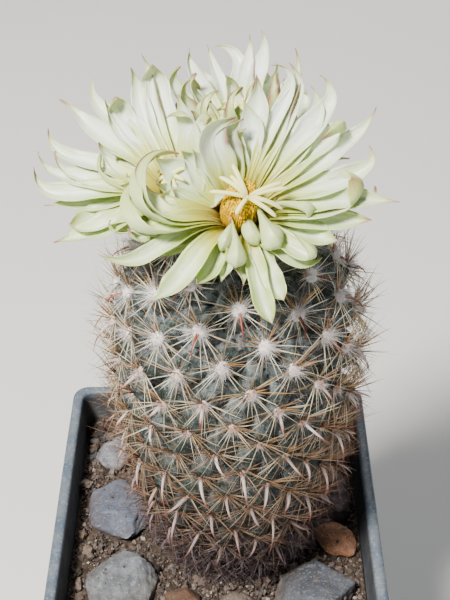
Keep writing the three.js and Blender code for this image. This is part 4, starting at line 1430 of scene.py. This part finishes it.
        turn = random.uniform(0, 2 * np.pi, len(which))
        rise = np.arcsin(random.uniform(0.0, 1, len(which)))
        way = self.heading(turn, rise, which)
        root = a.tip[which] + way * (reach[which] * 0.4)[:, None] - a.out[which] * 0.2
        length = reach[which] * random.uniform(0.3, 0.85, len(which)) + 0.3
        pull = random.normal(0, 0.5, (len(which), 3))
        places = bend_copies(hair, root, way, pull, length, random.uniform(0.027, 0.05, len(which)))
        own = {"age": age[which], "heart": 0.5 * rust[which] * (random.random(len(which)) < 0.4)}
        made.append(dress(stamp("areole_wool", hair, places, own, finish), "cactus_skin"))
        spots = random.choice(len(self.valleys), self.axil_hairs)
        out = self.valley_out[spots]
        way = out * 0.45 + random.normal(0, 0.6, out.shape)
        root = self.valleys[spots] - out * 0.1 + random.normal(0, 0.15, out.shape)
        places = bend_copies(hair, root, way, random.normal(0, 0.45, out.shape) - out * 0.15,
                             random.uniform(0.9, 2.6, len(out)), random.uniform(0.034, 0.06, len(out)))
        own = {"age": random.random(len(out)) * 0.5, "heart": np.zeros(len(out))}
        finish = AreoleWool("axil_wool", "e6ecf0", "c3ccd2", "9aa2a8").make()
        made.append(dress(stamp("axil_wool", hair, places, own, finish), "cactus_skin"))
        return made


def clear_length(root: np.ndarray, way: np.ndarray, length: np.ndarray, blocks: BVHTree) -> tuple:
    """Shortens spines that would run into another piece.

    Args:
        root: Foot of each spine.
        way: Direction of each.
        length: Wanted length of each.
        blocks: Search tree of the other pieces.

    Returns:
        Lengths, and which spines stay.
    """
    length = length.copy()
    for i, (p, d) in enumerate(zip(root, unit(way))):
        hit = blocks.ray_cast(Vector(p), Vector(d), float(length[i]) + SPINE_CLEARANCE)
        if hit[0] is not None:
            length[i] = hit[3] - SPINE_CLEARANCE
    return length, length > SHORTEST_SPINE


@dataclass(frozen=True)
class TepalRow:
    """Place, path and outline of one tepal; angles in degrees, sizes in millimetres."""

    azimuth: float
    length: float
    spread: float
    hook: float
    start: float
    drift: float = 0.0
    width: float = 4.4
    ring: float = 3.05
    nod: float = 30.0
    yaw: float = 0.0
    twist: float = 0.0
    blunt: float = 0.5
    rank: float = 0.2
    tone: float = 0.5
    below: float = 0.0
    stop: float = 1.0
    sweep: float = 0.0
    bow: float = 0.3


def fit(*row: float, **own: float) -> tuple:
    """One fitted tepal: azimuth, length, spread, hook, start, drift and width, and what else it sets."""
    return (*row, own)


@dataclass
class Flower:
    """One open flower: tube, tepals, stamens and stigma.

    A tepal that has no values of its own after its width gets its sway, nod and tone at random.
    """

    name: str
    base: tuple
    axis: tuple
    tube: float
    lobes: float
    tepals: tuple
    seed: int
    extra: tuple = ()
    bare: tuple = ()
    outer_count: int = 10
    scales: int = 9
    filaments: int = 520
    blade_cuts: tuple = (26, 10)
    tube_sides: int = 40
    heart_sides: int = 36
    filler_gap: float = 16.0
    stigma: tuple = ()
    lean: float = 0.0

    def __post_init__(self) -> None:
        """Works out the flower's own directions."""
        self.at = np.array(self.base, float)
        self.up = unit(np.array(self.axis, float))
        self.right = unit(np.array([1.0, 0, 0]) - self.up * self.up[0])
        self.back = np.cross(self.up, self.right)

    def outward(self, turn: float) -> np.ndarray:
        """Direction out from the axis at a turn in radians."""
        return self.right * math.cos(turn) + self.back * math.sin(turn)

    def point(self, along: float, out: float, turn: float) -> np.ndarray:
        """Place at a distance along the axis, out from it and around it in radians."""
        return self.at + self.up * along + self.outward(turn) * out

    @staticmethod
    def fitted(row: tuple, random: np.random.Generator) -> TepalRow:
        """Tepal of a fitted row, with small chances where the row sets nothing.

        Args:
            row: The row, which ends with its own values.
            random: Source of the chances.

        Returns:
            The tepal.
        """
        own = {"nod": 0.0, "twist": random.normal(0, 5), "blunt": random.uniform(0, 0.6),
               "rank": random.uniform(0.05, 0.35), "tone": random.random(),
               "ring": random.uniform(2.6, 2.85)}
        return TepalRow(*row[:6], width=row[6], **{**own, **row[7]})

    @staticmethod
    def loose(row: tuple, random: np.random.Generator) -> TepalRow:
        """Tepal of a row that leaves its sway, nod, twist and tone to chance.

        Args:
            row: Azimuth, length, spread, hook and start, and the drift if it has one.
            random: Source of the chances.

        Returns:
            The tepal.
        """
        azimuth, length, _, hook = row[:4]
        hooked = hook >= 60
        rolled = hooked and hook < 130
        free = 0.2 if hooked else min(1.0, max(0.6, hook / 30))
        sway = random.normal(0, 10 + 24 * abs(math.sin(math.radians(azimuth)))) * (0.4 + 0.6 * free)
        nod = free * random.uniform(45, 165) + random.uniform(0, 25)
        lift = math.cos(math.radians(azimuth)) * random.uniform(14, 62) * free
        return TepalRow(
            azimuth, length * (1.0 if hooked else 1.06), *row[2:],
            width=random.uniform(3.75, 4.5) - 0.5 * hooked, ring=random.uniform(2.6, 2.85),
            nod=nod, yaw=lift + sway,
            twist=random.choice((-1, 1)) * random.uniform(18, 46) if rolled else random.normal(0, 14),
            blunt=0.0 if hooked else random.uniform(0, 0.8), tone=random.random(),
            rank=random.uniform(0.6, 1.0) if rolled else random.uniform(0.05, 0.35))

    def plan(self) -> list[TepalRow]:
        """Lists every tepal.

        Returns:
            The main tepals, fillers between them, the outer series below and the tube's scales.
        """
        random = np.random.default_rng(self.seed)
        made = []
        for row in self.tepals + self.extra:
            draw = self.fitted if isinstance(row[-1], dict) else self.loose
            made.append(draw(row, random))
        main = sorted(self.tepals, key=lambda row: row[0] % 360)
        for here, after in zip(main, main[1:] + main[:1]):
            gap = (after[0] - here[0]) % 360
            middle = here[0] + gap / 2
            if gap < self.filler_gap or any(low <= middle % 360 <= high for low, high in self.bare):
                continue
            below = random.random() < 0.5
            made.append(TepalRow(
                middle, random.uniform(0.7, 0.88) * (here[1] + after[1]) / 2,
                (here[2] + after[2]) / 2 + (5 if below else -7), min(90, (here[3] + after[3]) / 2), 0.6,
                random.normal(0, 8), width=random.uniform(3.6, 4.3), ring=2.95 if below else 2.6,
                nod=random.uniform(-25, 0) if below else random.uniform(20, 90), yaw=random.normal(0, 12),
                twist=random.normal(0, 8), blunt=random.uniform(0.3, 1), rank=Series.INNER.value,
                tone=random.random()))
        for k in range(self.outer_count):
            azimuth = 360 * (k + 0.5 * random.random()) / self.outer_count
            near = min(main, key=lambda row: abs((row[0] - azimuth + 180) % 360 - 180))
            length = near[1] * random.uniform(0.58, 0.76)
            made.append(TepalRow(
                azimuth, length, min(near[2] + 7, 100), near[3] * 0.3 - 4, 0.65,
                width=random.uniform(2.7, 3.4), nod=random.uniform(-30, 8), yaw=random.normal(0, 14),
                twist=random.normal(0, 8), blunt=0.1, rank=Series.OUTER.value, tone=random.uniform(0.5, 1)))
        for k in range(self.scales):
            rise = k / self.scales
            made.append(TepalRow(
                k * 137.5 + random.normal(0, 6), random.uniform(3.4, 4.2) + 2.6 * rise,
                random.uniform(16, 26) + 16 * rise, random.uniform(-12, 6), 0.6,
                width=random.uniform(1.8, 2.3), ring=2.75 + 0.4 * rise, nod=random.uniform(-30, 10),
                blunt=0.0, rank=Series.OUTER.value, tone=random.uniform(0.7, 1), below=4.4 * (1 - rise)))
        return made

    def blade(self, row: TepalRow, pattern: Pattern, random: np.random.Generator) -> np.ndarray:
        """Bends the flat blade into one tepal.

        Args:
            row: The tepal's own numbers.
            pattern: Flat blade.
            random: Source of its small waves.

        Returns:
            Corner places in millimetres.
        """
        s = np.arange(BLADE_STEPS + 1) / BLADE_STEPS
        curl = row.hook * np.clip((s - row.start) / (row.stop - row.start), 0, 1) ** 1.2
        nod = row.nod * np.clip((s - 0.76) / 0.24, 0, 1) ** 1.5
        phi = np.radians(15 + (row.spread - 15) * smooth(s, 0, 0.4) - curl - nod)
        turn = np.radians(row.azimuth + row.drift * s * s)
        rho = self.right * np.cos(turn)[:, None] + self.back * np.sin(turn)[:, None]
        d = self.up * np.cos(phi)[:, None] + rho * np.sin(phi)[:, None]
        normal = self.up * np.sin(phi)[:, None] - rho * np.cos(phi)[:, None]
        b = np.cross(d, normal)
        yaw = np.radians(row.yaw) * smooth(s, 0.55, 1.0) ** 0.9
        yaw = yaw + np.radians(row.sweep) * np.clip((s - row.bow) / (1 - row.bow), 0, 1)
        yaw = (yaw + 0.15 * np.sin(s * 6.5 + row.tone * 12) * smooth(s, 0.15, 0.5))[:, None]
        d, b = d * np.cos(yaw) - b * np.sin(yaw), b * np.cos(yaw) + d * np.sin(yaw)
        twist = np.radians(row.twist) * smooth(s, 0.25, 0.9)[:, None]
        normal, b = normal * np.cos(twist) + b * np.sin(twist), b * np.cos(twist) - normal * np.sin(twist)
        root = self.at + self.up * (self.tube - 2.2 - row.below) + rho[0] * row.ring
        line = root + np.concatenate([[[0, 0, 0]], np.cumsum(d[1:], 0) * row.length / BLADE_STEPS])
        line = line + rho[0] * ((3.25 - row.ring) * smooth(s, 0.05, 0.35))[:, None]
        u, v, w = pattern.places.T
        at, nn, bb = (np.stack([np.interp(u, s, axis) for axis in path.T], 1) for path in (line, normal, b))
        sharp, blunt, claw, strap = (pick(outline.value, u) for outline in Outline)
        half = sharp + (blunt - sharp) * min(max(row.blunt, 0), 1) + (claw - sharp) * max(-row.blunt, 0)
        half = row.width / 2 * (half + (strap - blunt) * max(row.blunt - 1, 0))
        half = half * (1 + 0.05 * np.sin(u * 21 + row.tone * 40) * np.abs(v))
        curled = np.interp(u, s, curl + np.degrees(np.abs(yaw[:, 0])) * (abs(row.sweep) > 140)) / 150
        cup = (pick(((0, 0.62), (0.3, 0.55), (0.6, 0.5), (0.85, 0.7), (1, 0.9)), u) + 0.3 * curled) * half
        phase = random.uniform(0, 6.28, 2)
        waves = 0.17 * np.sin(u * 13 + phase[0] + v) * np.abs(v) ** 2
        waves += 0.09 * np.sin(u * 27 + phase[1] - v) * v * v
        waves = waves * smooth(u, 0.2, 0.6) * (1 + 0.5 * row.tone)
        shaft = smooth(u, 0.05, 0.25) * (1 - smooth(u, 0.8, 0.95))
        groove = 0.17 * np.exp(-(v / 0.17) ** 2) * shaft
        groove = groove + 0.045 * np.cos(v * 3 * math.pi) * shaft * (1.2 - u)
        thick = (0.17 * (1 - 0.6 * v * v) * (1 - 0.55 * u) + 0.03) * w
        rise = cup * (v * v - 0.45) + waves - groove + thick
        return at + bb * (v * half)[:, None] + nn * rise[:, None]

    def petals(self) -> Piece:
        """Makes the tube and the tepals, with the veins' coordinates on each blade.

        Returns:
            The tepals as one piece.
        """
        random = np.random.default_rng(self.seed + 1)
        pattern = Patterns.blade(*self.blade_cuts)
        pattern.places[:, 0] = 1 - (1 - pattern.places[:, 0]) ** 1.3
        rows = self.plan()
        places = np.stack([self.blade(row, pattern, random) for row in rows])
        u, v, w = pattern.places.T
        count = len(rows)
        turns = np.radians([row.azimuth for row in rows])
        rolled = np.array([row.hook >= 60 or abs(row.sweep) > 140 for row in rows])
        # Green share: front tepals turned from the light and rolled ones get more yellow-green, partly
        # painted shade.
        green = 0.48 - 0.42 * np.sin(turns) + 0.12 * rolled
        green = np.clip(green + random.normal(0, 0.08, count), 0, 1)
        own = {"along": u, "across": v, "outer": w < 0}
        own = {key: np.repeat(values[None], count, 0) for key, values in own.items()}
        own["green"] = green
        own.update((key, np.array([getattr(row, key) for row in rows])) for key in ("rank", "tone"))
        finish = TepalSatin().make()
        petals = stamp(f"{self.name}_tepals", pattern, places, own, finish)
        mesh = petals.data
        uv = mesh.uv_layers.new(name="blade")
        index = np.empty(len(mesh.loops), np.int32)
        mesh.loops.foreach_get("vertex_index", index)
        flat = np.stack([v[index % len(u)] * 0.5 + 0.5 + index // len(u), u[index % len(u)]], 1)
        uv.data.foreach_set("uv", flat.astype(np.float32).ravel())
        dress(self.tube_piece(finish), "petal")
        return dress(petals, "petal", f"{self.name}_flower_petals")

    def tube_piece(self, finish: Material) -> Piece:
        """Makes the hollow flower tube under the tepals.

        Args:
            finish: The tepals' finish.

        Returns:
            The tube.
        """
        t = self.tube
        outside = [(-2.4, 0.01), (-2.4, 1.9), (0, 2.25), (t - 5, 2.75), (t - 3, 3.05), (t - 2.2, 3.2),
                   (t - 1.6, 3.3), (t - 1.3, 3.3)]
        inside = [(t - 1.2, 3.2), (t - 1.4, 3.05), (t - 1.9, 2.85), (t - 4, 2.3), (t - 6, 1.95),
                  (t - 6, 0.01)]
        turns = np.linspace(0, 2 * np.pi, self.tube_sides, endpoint=False)
        rows = outside + inside
        rings = np.array([[self.point(s, r * (1 + 0.03 * math.cos(9 * a) * (s > 0)), a) for a in turns]
                          for s, r in rows])
        skin = np.repeat([1.0] * len(outside) + [0.0] * len(inside), self.tube_sides)
        # The tube's outside takes a fixed green share, partly painted shade like the tepals'.
        own = {"along": 0.11 + 0.02 * skin, "across": 0 * skin + 0.5, "outer": skin, "rank": 0.7 * skin,
               "tone": 0.3 * skin, "green": 0.6 * skin}
        piece = closed_rings(f"{self.name}_flower_tube", rings, own, finish)
        uv = piece.data.uv_layers.new(name="blade")
        uv.data.foreach_set("uv", np.zeros(2 * len(piece.data.loops), np.float32))
        return piece

    def girth(self, height: np.ndarray) -> np.ndarray:
        """Radius of the bundle of stamens at a height above the throat."""
        return pick(((-3, 2.35), (-1.5, 2.8), (0, 3.05), (1.5, 3.05), (3.5, 2.8), (4.8, 2.45), (5.8, 1.8),
                     (6.6, 1.1)), height)

    def bundle(self, along: float, out: float, turn: float) -> np.ndarray:
        """Place in the bundle of stamens, which leans back towards its top."""
        height = along - self.tube
        sway = (self.back * 1.25 + self.right * 0.45 * self.lean) * max(0.0, height / 6) ** 1.3
        return self.point(along, out, turn) + sway

    def stamens(self) -> Piece:
        """Makes the dense egg of stamens: a heart, arching filaments and small bright anthers.

        Returns:
            The anthers.
        """
        random = np.random.default_rng(self.seed + 2)
        t, finish = self.tube, StamenGold().make()
        levels = (-3, -0.8, 0.8, 2.4, 4.0, 4.8, 5.2)
        rows = [(t - 5.7, 0.01), (t - 5.7, 1.55)]
        rows += [(t + h, float(self.girth(h)) - 0.28) for h in levels]
        rows += [(t + 5.3, 0.7), (t + 5.1, 0.55), (t - 5, 0.55), (t - 5, 0.01)]
        turns = np.linspace(0, 2 * np.pi, self.heart_sides, endpoint=False)
        rings = np.stack([np.stack([self.bundle(s, r, a) for a in turns]) for s, r in rows])
        size = len(rows) * self.heart_sides
        heart = {"along": np.full(size, 0.3), "tone": np.full(size, 0.3)}
        core = closed_rings(f"{self.name}_stamen_heart", rings, heart, finish)
        dress(core, "stamen", f"{self.name}_flower_stamens")
        count = self.filaments
        depth = (np.arange(count) + 0.5) / count
        turn = np.radians(np.arange(count) * GOLDEN)
        rim = smooth(depth, 0.4, 0.6)
        top = 5.2 + 1.2 * (1 - depth) - rim * 2.6 * random.random(count) ** 1.6
        top = top + random.normal(0, 0.16, count)
        reach = np.where(depth < 0.5, 0.7 + 3.2 * depth, self.girth(top) + 0.08)
        reach = reach + random.normal(0, 0.1, count)
        root = np.array([self.point(t - 2.4, 1.55 + 0.5 * q, a) for q, a in zip(depth, turn)])
        spun = turn + random.normal(0, 0.07, count)
        head = np.array([self.bundle(t + h, r, a) for h, r, a in zip(top, reach, spun)])
        waist = (top - 2.4) / 2
        wide = np.minimum(reach + 0.9, self.girth(waist) + 0.02)
        middle = np.array([self.bundle(t + h, r, a) for h, r, a in zip(waist, wide, turn)])
        belly = 2 * middle - (root + head) / 2
        hair = Patterns.needle(3, 3, 0.7)
        s = hair.places[:, 2][None, :, None]
        line = root[:, None] * (1 - s) ** 2 + 2 * belly[:, None] * s * (1 - s) + head[:, None] * s * s
        side = unit(np.cross(head - belly, self.up + 0.01))
        other = unit(np.cross(side, head - belly))
        ring = side[:, None] * hair.places[None, :, :1] + other[:, None] * hair.places[None, :, 1:2]
        places = line + 0.105 * ring
        own = {"along": np.repeat(hair.places[None, :, 2], count, 0) * 0.7, "tone": random.random(count)}
        dress(stamp(f"{self.name}_filaments", hair, places, own, finish), "stamen")
        sac = unit(Patterns.grain(1, self.seed).places)
        way = unit(head - belly) + 0.5 * unit(head - self.at - self.up * t)
        way = unit(way + random.normal(0, 0.25, (count, 3)))
        side = unit(np.cross(way, self.right + 0.02))
        other = np.cross(way, side)
        big = random.uniform(0.85, 1.3, count)[:, None, None]
        flat = side[:, None] * sac[None, :, :1] + other[:, None] * sac[None, :, 1:2]
        places = head[:, None] + big * (0.16 * flat + 0.36 * way[:, None] * sac[None, :, 2:])
        own = {"along": np.full(count, 0.95), "tone": random.random(count)}
        anthers = stamp(f"{self.name}_anthers", Patterns.grain(1, self.seed), places, own, finish)
        return dress(anthers, "stamen")

    def pistil(self) -> Piece:
        """Makes the style and its arching stigma lobes.

        Returns:
            The pistil.
        """
        random = np.random.default_rng(self.seed + 3)
        top, finger = self.tube + 7.1, Patterns.finger(10, 14)
        rows = self.stigma or tuple(
            (45 * k + 13 + random.uniform(-8, 8), self.lobes * random.uniform(0.85, 1.05),
             random.uniform(0.4, 0.8), random.uniform(0.4, 0.7)) for k in range(8))
        foot, tilt = self.point(self.tube - 5.4, 0, 0), self.right * self.lean
        crown = self.point(top - 0.35, 0, 0) + tilt
        shafts = [(foot, self.up, tilt / 12.6, 12.6, 0.6)]
        for azimuth, length, lift, droop in rows:
            rho = self.outward(math.radians(azimuth))
            shafts.append((crown + rho * 0.12, unit(rho + self.up * lift), rho * 0.12 - self.up * droop,
                           length * 0.95, random.uniform(0.34, 0.4)))
        places = bend_copies(finger, *(np.array(column) for column in zip(*shafts)))
        own = {"along": np.repeat(finger.places[None, :, 2], len(shafts), 0)}
        own["along"][0] = 0.5
        piece = stamp(f"{self.name}_stigma", finger, places, own, StigmaCream().make())
        return dress(piece, "pistil", f"{self.name}_flower_pistil")


FLOWERS = (
    Flower("front", (4, -6, 139), (0, -0.5, 0.866), 12, 5.6, (
        fit(69, 27.2, 72, 10, 0.7, 2, 2.6, sweep=110, bow=0.8, nod=20),
        fit(60.5, 26.3, 74, 15, 0.7, 5, 4.0, sweep=75, bow=0.77, nod=20),
        fit(61.5, 28.2, 76, 15, 0.7, 4, 3.2, sweep=50, bow=0.78, nod=20, rank=0.9, tone=0.9),
        fit(50.5, 28, 78, 15, 0.75, 3, 4.4, sweep=85, bow=0.8, nod=20),
        fit(47.5, 24.6, 76, 15, 0.75, 4, 4.4, sweep=75, bow=0.78, nod=20),
        fit(34.5, 28, 80, 160, 0.68, 2, 3.8, stop=0.86),
        fit(28.5, 27.6, 80, 15, 0.7, 0, 3.6, sweep=35, bow=0.8, nod=15, tone=0.8),
        fit(16.5, 25.2, 82, 15, 0.75, 2, 4.2, sweep=105, bow=0.84, nod=20),
        fit(5.5, 22, 84, 120, 0.7, 2, 6.8, blunt=2, stop=0.95, rank=0.1, ring=2.6),
        fit(-2, 23, 86, 5, 0.75, 0, 3.0, sweep=105, bow=0.8, nod=20, rank=0.8, tone=0.9),
        fit(1, 25.3, 85, 5, 0.7, -8, 3.6, nod=10, tone=0.9, ring=2.85),
        fit(76, 22, 66, 10, 0.7, 0, 4.2, sweep=30, bow=0.7, blunt=1, nod=30),
        fit(84, 18, 60, 10, 0.7, 0, 4.4, sweep=20, bow=0.62, blunt=1, nod=30),
        fit(112, 18.3, 42, 20, 0.7, 0, 5.4, sweep=-90, bow=0.6, rank=0.7, tone=0.9, blunt=0.5, nod=30),
        fit(102, 16.5, 46, 20, 0.7, 0, 4.8, sweep=-80, bow=0.62, rank=0.55, tone=0.8, nod=30),
        fit(96, 14, 50, 20, 0.7, 0, 4.4, sweep=-60, bow=0.62, nod=30),
        fit(138, 13, 64, 20, 0.7, 0, 5.0, blunt=0.5, nod=30),
        fit(153, 15.5, 70, 20, 0.6, 0, 5.4, nod=20, blunt=0.5),
        fit(168, 13.5, 74, 40, 0.6, 0, 4.0, nod=20, blunt=0.5),
        fit(-170, 28.5, 80, 0, 0.5, 0, 4.8, sweep=-205, bow=0.34, twist=118, blunt=-0.6, rank=0.95,
            tone=0.8),
        fit(-166, 27.5, 80, 0, 0.5, 0, 4.8, sweep=-190, bow=0.42, twist=132, blunt=-0.6),
        fit(-163, 27.5, 82, 0, 0.5, 0, 4.8, sweep=-165, bow=0.46, twist=132, blunt=-0.6),
        fit(-176, 17, 70, 0, 0.5, 0, 2.8, sweep=-150, bow=0.4, twist=80, blunt=-1),
        fit(-168, 19, 86, 10, 0.7, 0, 3.2, sweep=-95, bow=0.76, rank=0.8, tone=0.9),
        fit(-155, 24, 92, 10, 0.7, 0, 3.2, sweep=-45, bow=0.7, blunt=0, tone=0.9),
        fit(-158, 14, 92, 60, 0.7, 0, 4.6, blunt=2),
        fit(-133, 20, 98, 5, 0.8, 0, 4.2, sweep=-8, bow=0.6, blunt=0.6, tone=0.9),
        fit(-118, 12.5, 100, 70, 0.65, 0, 3.4, blunt=1.5),
        fit(-106, 9.5, 98, 30, 0.65, 0, 2.8, blunt=1),
        fit(-73, 17.8, 100, 5, 0.8, 0, 3.4, blunt=2),
        fit(-62, 14.5, 98, 12, 0.8, -6, 3.8, blunt=2),
        fit(-43, 15, 92, 15, 0.7, 0, 3.6, sweep=100, bow=0.74, blunt=0.6),
        fit(-11, 20.3, 89, 8, 0.7, 0, 3.8, sweep=18, bow=0.5, blunt=1.5, tone=0.9, ring=2.6),
        fit(-20, 15.5, 88, 20, 0.7, 0, 4.2, blunt=1.4, nod=30),
        fit(-35, 20, 88, 172, 0.6, 0, 3.4, stop=0.78, blunt=-1),
        fit(-7, 19.6, 78, 172, 0.5, 0, 2.8, stop=0.66, blunt=-1),
        fit(-47, 17, 80, 172, 0.38, 0, 4.0, stop=0.57, blunt=-1, sweep=26, bow=0.5),
        fit(-62, 13.5, 76, 172, 0.27, 0, 2.8, stop=0.52, blunt=-1, sweep=42, bow=0.45),
        fit(-96, 16.8, 86, 172, 0.42, 0, 3.3, stop=0.6, blunt=-1, yaw=-14),
        fit(-116, 10.5, 84, 165, 0.34, 0, 2.6, stop=0.62, blunt=0.2)),
        101, bare=((205, 345),), outer_count=12, lean=1.3,
        stigma=((115, 6.2, 0.7, 0.35), (139, 6.2, 0.6, 0.6), (127, 5.0, 0.75, 0.5), (173, 6.0, 0.45, 0.3),
                (-126, 3.2, 0.5, 0.6), (-35, 5.3, 0.4, 0.45), (-14, 6.0, 0.6, 0.75), (13, 6.7, 0.5, 0.4),
                (23, 6.1, 0.6, 0.4))),
    Flower("left", (-2.8, -4, 139.6), (-0.25, -0.27, 0.92), 9.5, 3.2, (
        fit(134, 28.6, 79, 15, 0.7, -6, 4.0, sweep=30, bow=0.8, nod=20, tone=0.9),
        fit(129, 27.8, 74, 15, 0.7, -6, 3.8, sweep=-50, bow=0.76, nod=10),
        fit(118, 22, 66, 30, 0.7, 0, 4.4, nod=80, blunt=2),
        fit(125, 22, 66, 30, 0.7, 0, 2.8, nod=60, blunt=1),
        fit(109, 24.8, 66, 15, 0.7, -3, 3.4, nod=60, blunt=1),
        fit(96, 24.4, 66, 12, 0.7, -5, 5.4, nod=80, blunt=1.8),
        fit(101, 26, 66, 12, 0.7, -5, 2.8, sweep=20, nod=10, blunt=0, bow=0.8, rank=0.9, tone=1.0),
        fit(156, 27.5, 80, 15, 0.6, -15, 3.6, sweep=-45, bow=0.78, nod=10, tone=0.8),
        fit(172, 28, 86, 20, 0.7, -8, 4.4, sweep=-60, bow=0.76, tone=0.9, nod=30),
        fit(169, 27, 84, 25, 0.7, -8, 3.8, sweep=-60, bow=0.78, nod=30),
        fit(167, 24.3, 82, 25, 0.7, -8, 3.8, sweep=-70, bow=0.78, nod=30),
        fit(177, 23, 89, 5, 0.7, 0, 3.6, sweep=10, bow=0.8, tone=1.0),
        fit(170, 18.2, 64, 20, 0.6, 0, 2.8, sweep=-110, bow=0.5, twist=70, blunt=-0.5, nod=30),
        fit(162, 9.8, 50, 10, 0.7, 0, 3.0, sweep=30, nod=10, blunt=1, tone=1.0, rank=0.6),
        fit(190, 18, 86, 20, 0.7, 0, 6.0, blunt=2),
        fit(198, 21.5, 90, 5, 0.7, 0, 5.0, blunt=0.5, tone=1.0),
        (-144, 10.5, 88, 95, 0.6, 10), (158, 10, 62, 60, 0.6), (152, 14, 74, 70, 0.5, -40),
        (54, 17.5, 34, 35, 0.6, -10), (44, 15.5, 38, 30, 0.6, -10),
        (68, 16.5, 38, 40, 0.6, 10), (35, 16, 42, 60, 0.6, -20)), 202, bare=((212, 360), (0, 60)),
        extra=((-126, 8.5, 40, 60, 0.5), (-98, 7.5, 26, 40, 0.5), (-66, 7, 16, 30, 0.5),
               (-34, 7, 12, 30, 0.5), (-4, 8, 18, 30, 0.5))),
    Flower("back", (4.5, 6, 140), (0, 0.12, 0.99), 11, 4.4, (
        fit(131, 20, 46, 15, 0.7, 0, 3.2, sweep=-35, bow=0.7, nod=10),
        fit(112, 20, 50, 10, 0.7, 0, 2.6, sweep=-10, bow=0.7),
        fit(92, 22, 48, 10, 0.7, 0, 3.0, sweep=95, bow=0.66, nod=10),
        fit(82, 20.6, 42, 5, 0.7, 0, 3.2, sweep=15, bow=0.7, nod=10, rank=0.6, tone=1.0),
        fit(70, 21.8, 42, 5, 0.7, 0, 3.4, sweep=40, bow=0.75, nod=10),
        (96, 14, 30, 60, 0.6), (145, 16, 45, 60, 0.6), (58, 17, 56, 60, 0.6, 16), (42, 17, 60, 50, 0.6, 14),
        (14, 15.5, 58, 50, 0.6), (151, 18, 60, 40, 0.6), (171, 16, 45, 70, 0.6),
        (-150, 15, 28, 85, 0.5, 10), (-105, 17, 24, 90, 0.5, -40), (-70, 18, 24, 95, 0.5, -60),
        (-38, 19, 28, 90, 0.45, -70), (-14, 15, 42, 70, 0.5, -20), (105, 20, 78, 15, 0.7),
        (75, 20, 78, 15, 0.7)), 303),
)


@dataclass
class Studio:
    """Pale floor, soft lights and the camera at the photo's angle."""

    eye: tuple = (1.76, -156.9, 253.1)
    pitch: float = 40.0
    lens: float = 65.86

    def camera(self) -> None:
        """Sets up the camera."""
        data = bpy.data.cameras.new("studio_camera")
        data.sensor_fit = "VERTICAL"
        data.sensor_height = 36
        data.lens = self.lens
        data.clip_start = 0.01
        camera = bpy.data.objects.new("studio_camera", data)
        camera.location = Vector(self.eye) * MM
        camera.rotation_euler = (math.radians(90 - self.pitch), 0, 0)
        bpy.context.scene.collection.objects.link(camera)
        bpy.context.scene.camera = camera

    def light(self, name: str, place: tuple, power: float, size: float, colour: str) -> None:
        """Adds one soft light that faces the plant.

        Args:
            name: Its name.
            place: Where it hangs, in metres.
            power: Power in watts.
            size: Width of its panel in metres.
            colour: Colour code.
        """
        data = bpy.data.lights.new(name, "AREA")
        data.energy = power
        data.size = size
        data.color = linear(colour)[:3]
        lamp = bpy.data.objects.new(name, data)
        lamp.location = place
        lamp.rotation_euler = (Vector((0, 0, 0.1)) - Vector(place)).to_track_quat("-Z", "Y").to_euler()
        bpy.context.scene.collection.objects.link(lamp)

    def build(self) -> None:
        """Places floor, lights, sky and camera."""
        self.camera()
        self.light("key_light", (-0.3, -0.3, 0.72), 18.5, 0.15, "fffbf4")
        self.light("fill_light", (0.6, -0.5, 0.35), 1.5, 0.6, "e8f0ff")
        self.light("back_light", (0.1, 0.7, 0.55), 3.4, 0.5, "ffffff")
        world = bpy.data.worlds.new("studio_sky")
        world.use_nodes = True
        sky = world.node_tree.nodes["Background"].inputs
        sky["Color"].default_value = (0.82, 0.86, 0.9, 1)
        sky["Strength"].default_value = 0.14
        bpy.context.scene.world = world
        bm = bmesh.new()
        bmesh.ops.create_grid(bm, x_segments=1, y_segments=1, size=1.5)
        paint = Paint("floor_paper", 0.8, 0.2)
        floor = settle(bm, "studio_floor", paint.done(paint.tint("d9d8d4", "d2d1cd", paint.noise(6, 2))))


def main() -> None:
    """Builds the object piece by piece."""
    logging.basicConfig(level=logging.INFO, format="%(message)s")
    Studio().build()
    pot = SquarePot()
    pot_piece = pot.build()
    stones = LooseStones().build()
    soil = SoilBed(pot)
    bed = soil.bed()
    soil.grains(stones)
    petals = []
    for flower in FLOWERS:
        petals.append(flower.petals())
        flower.stamens()
        flower.pistil()
    stem = CactusStem(Areoles())
    stem.skin()
    blocks = tree_of(pot_piece, bed, *stones, *petals)
    stem.radial_spines(blocks)
    stem.central_spines(blocks)
    stem.old_spines(blocks)
    stem.wool(tree_of(*petals))
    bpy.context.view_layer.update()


if __name__ == "__main__":
    main()
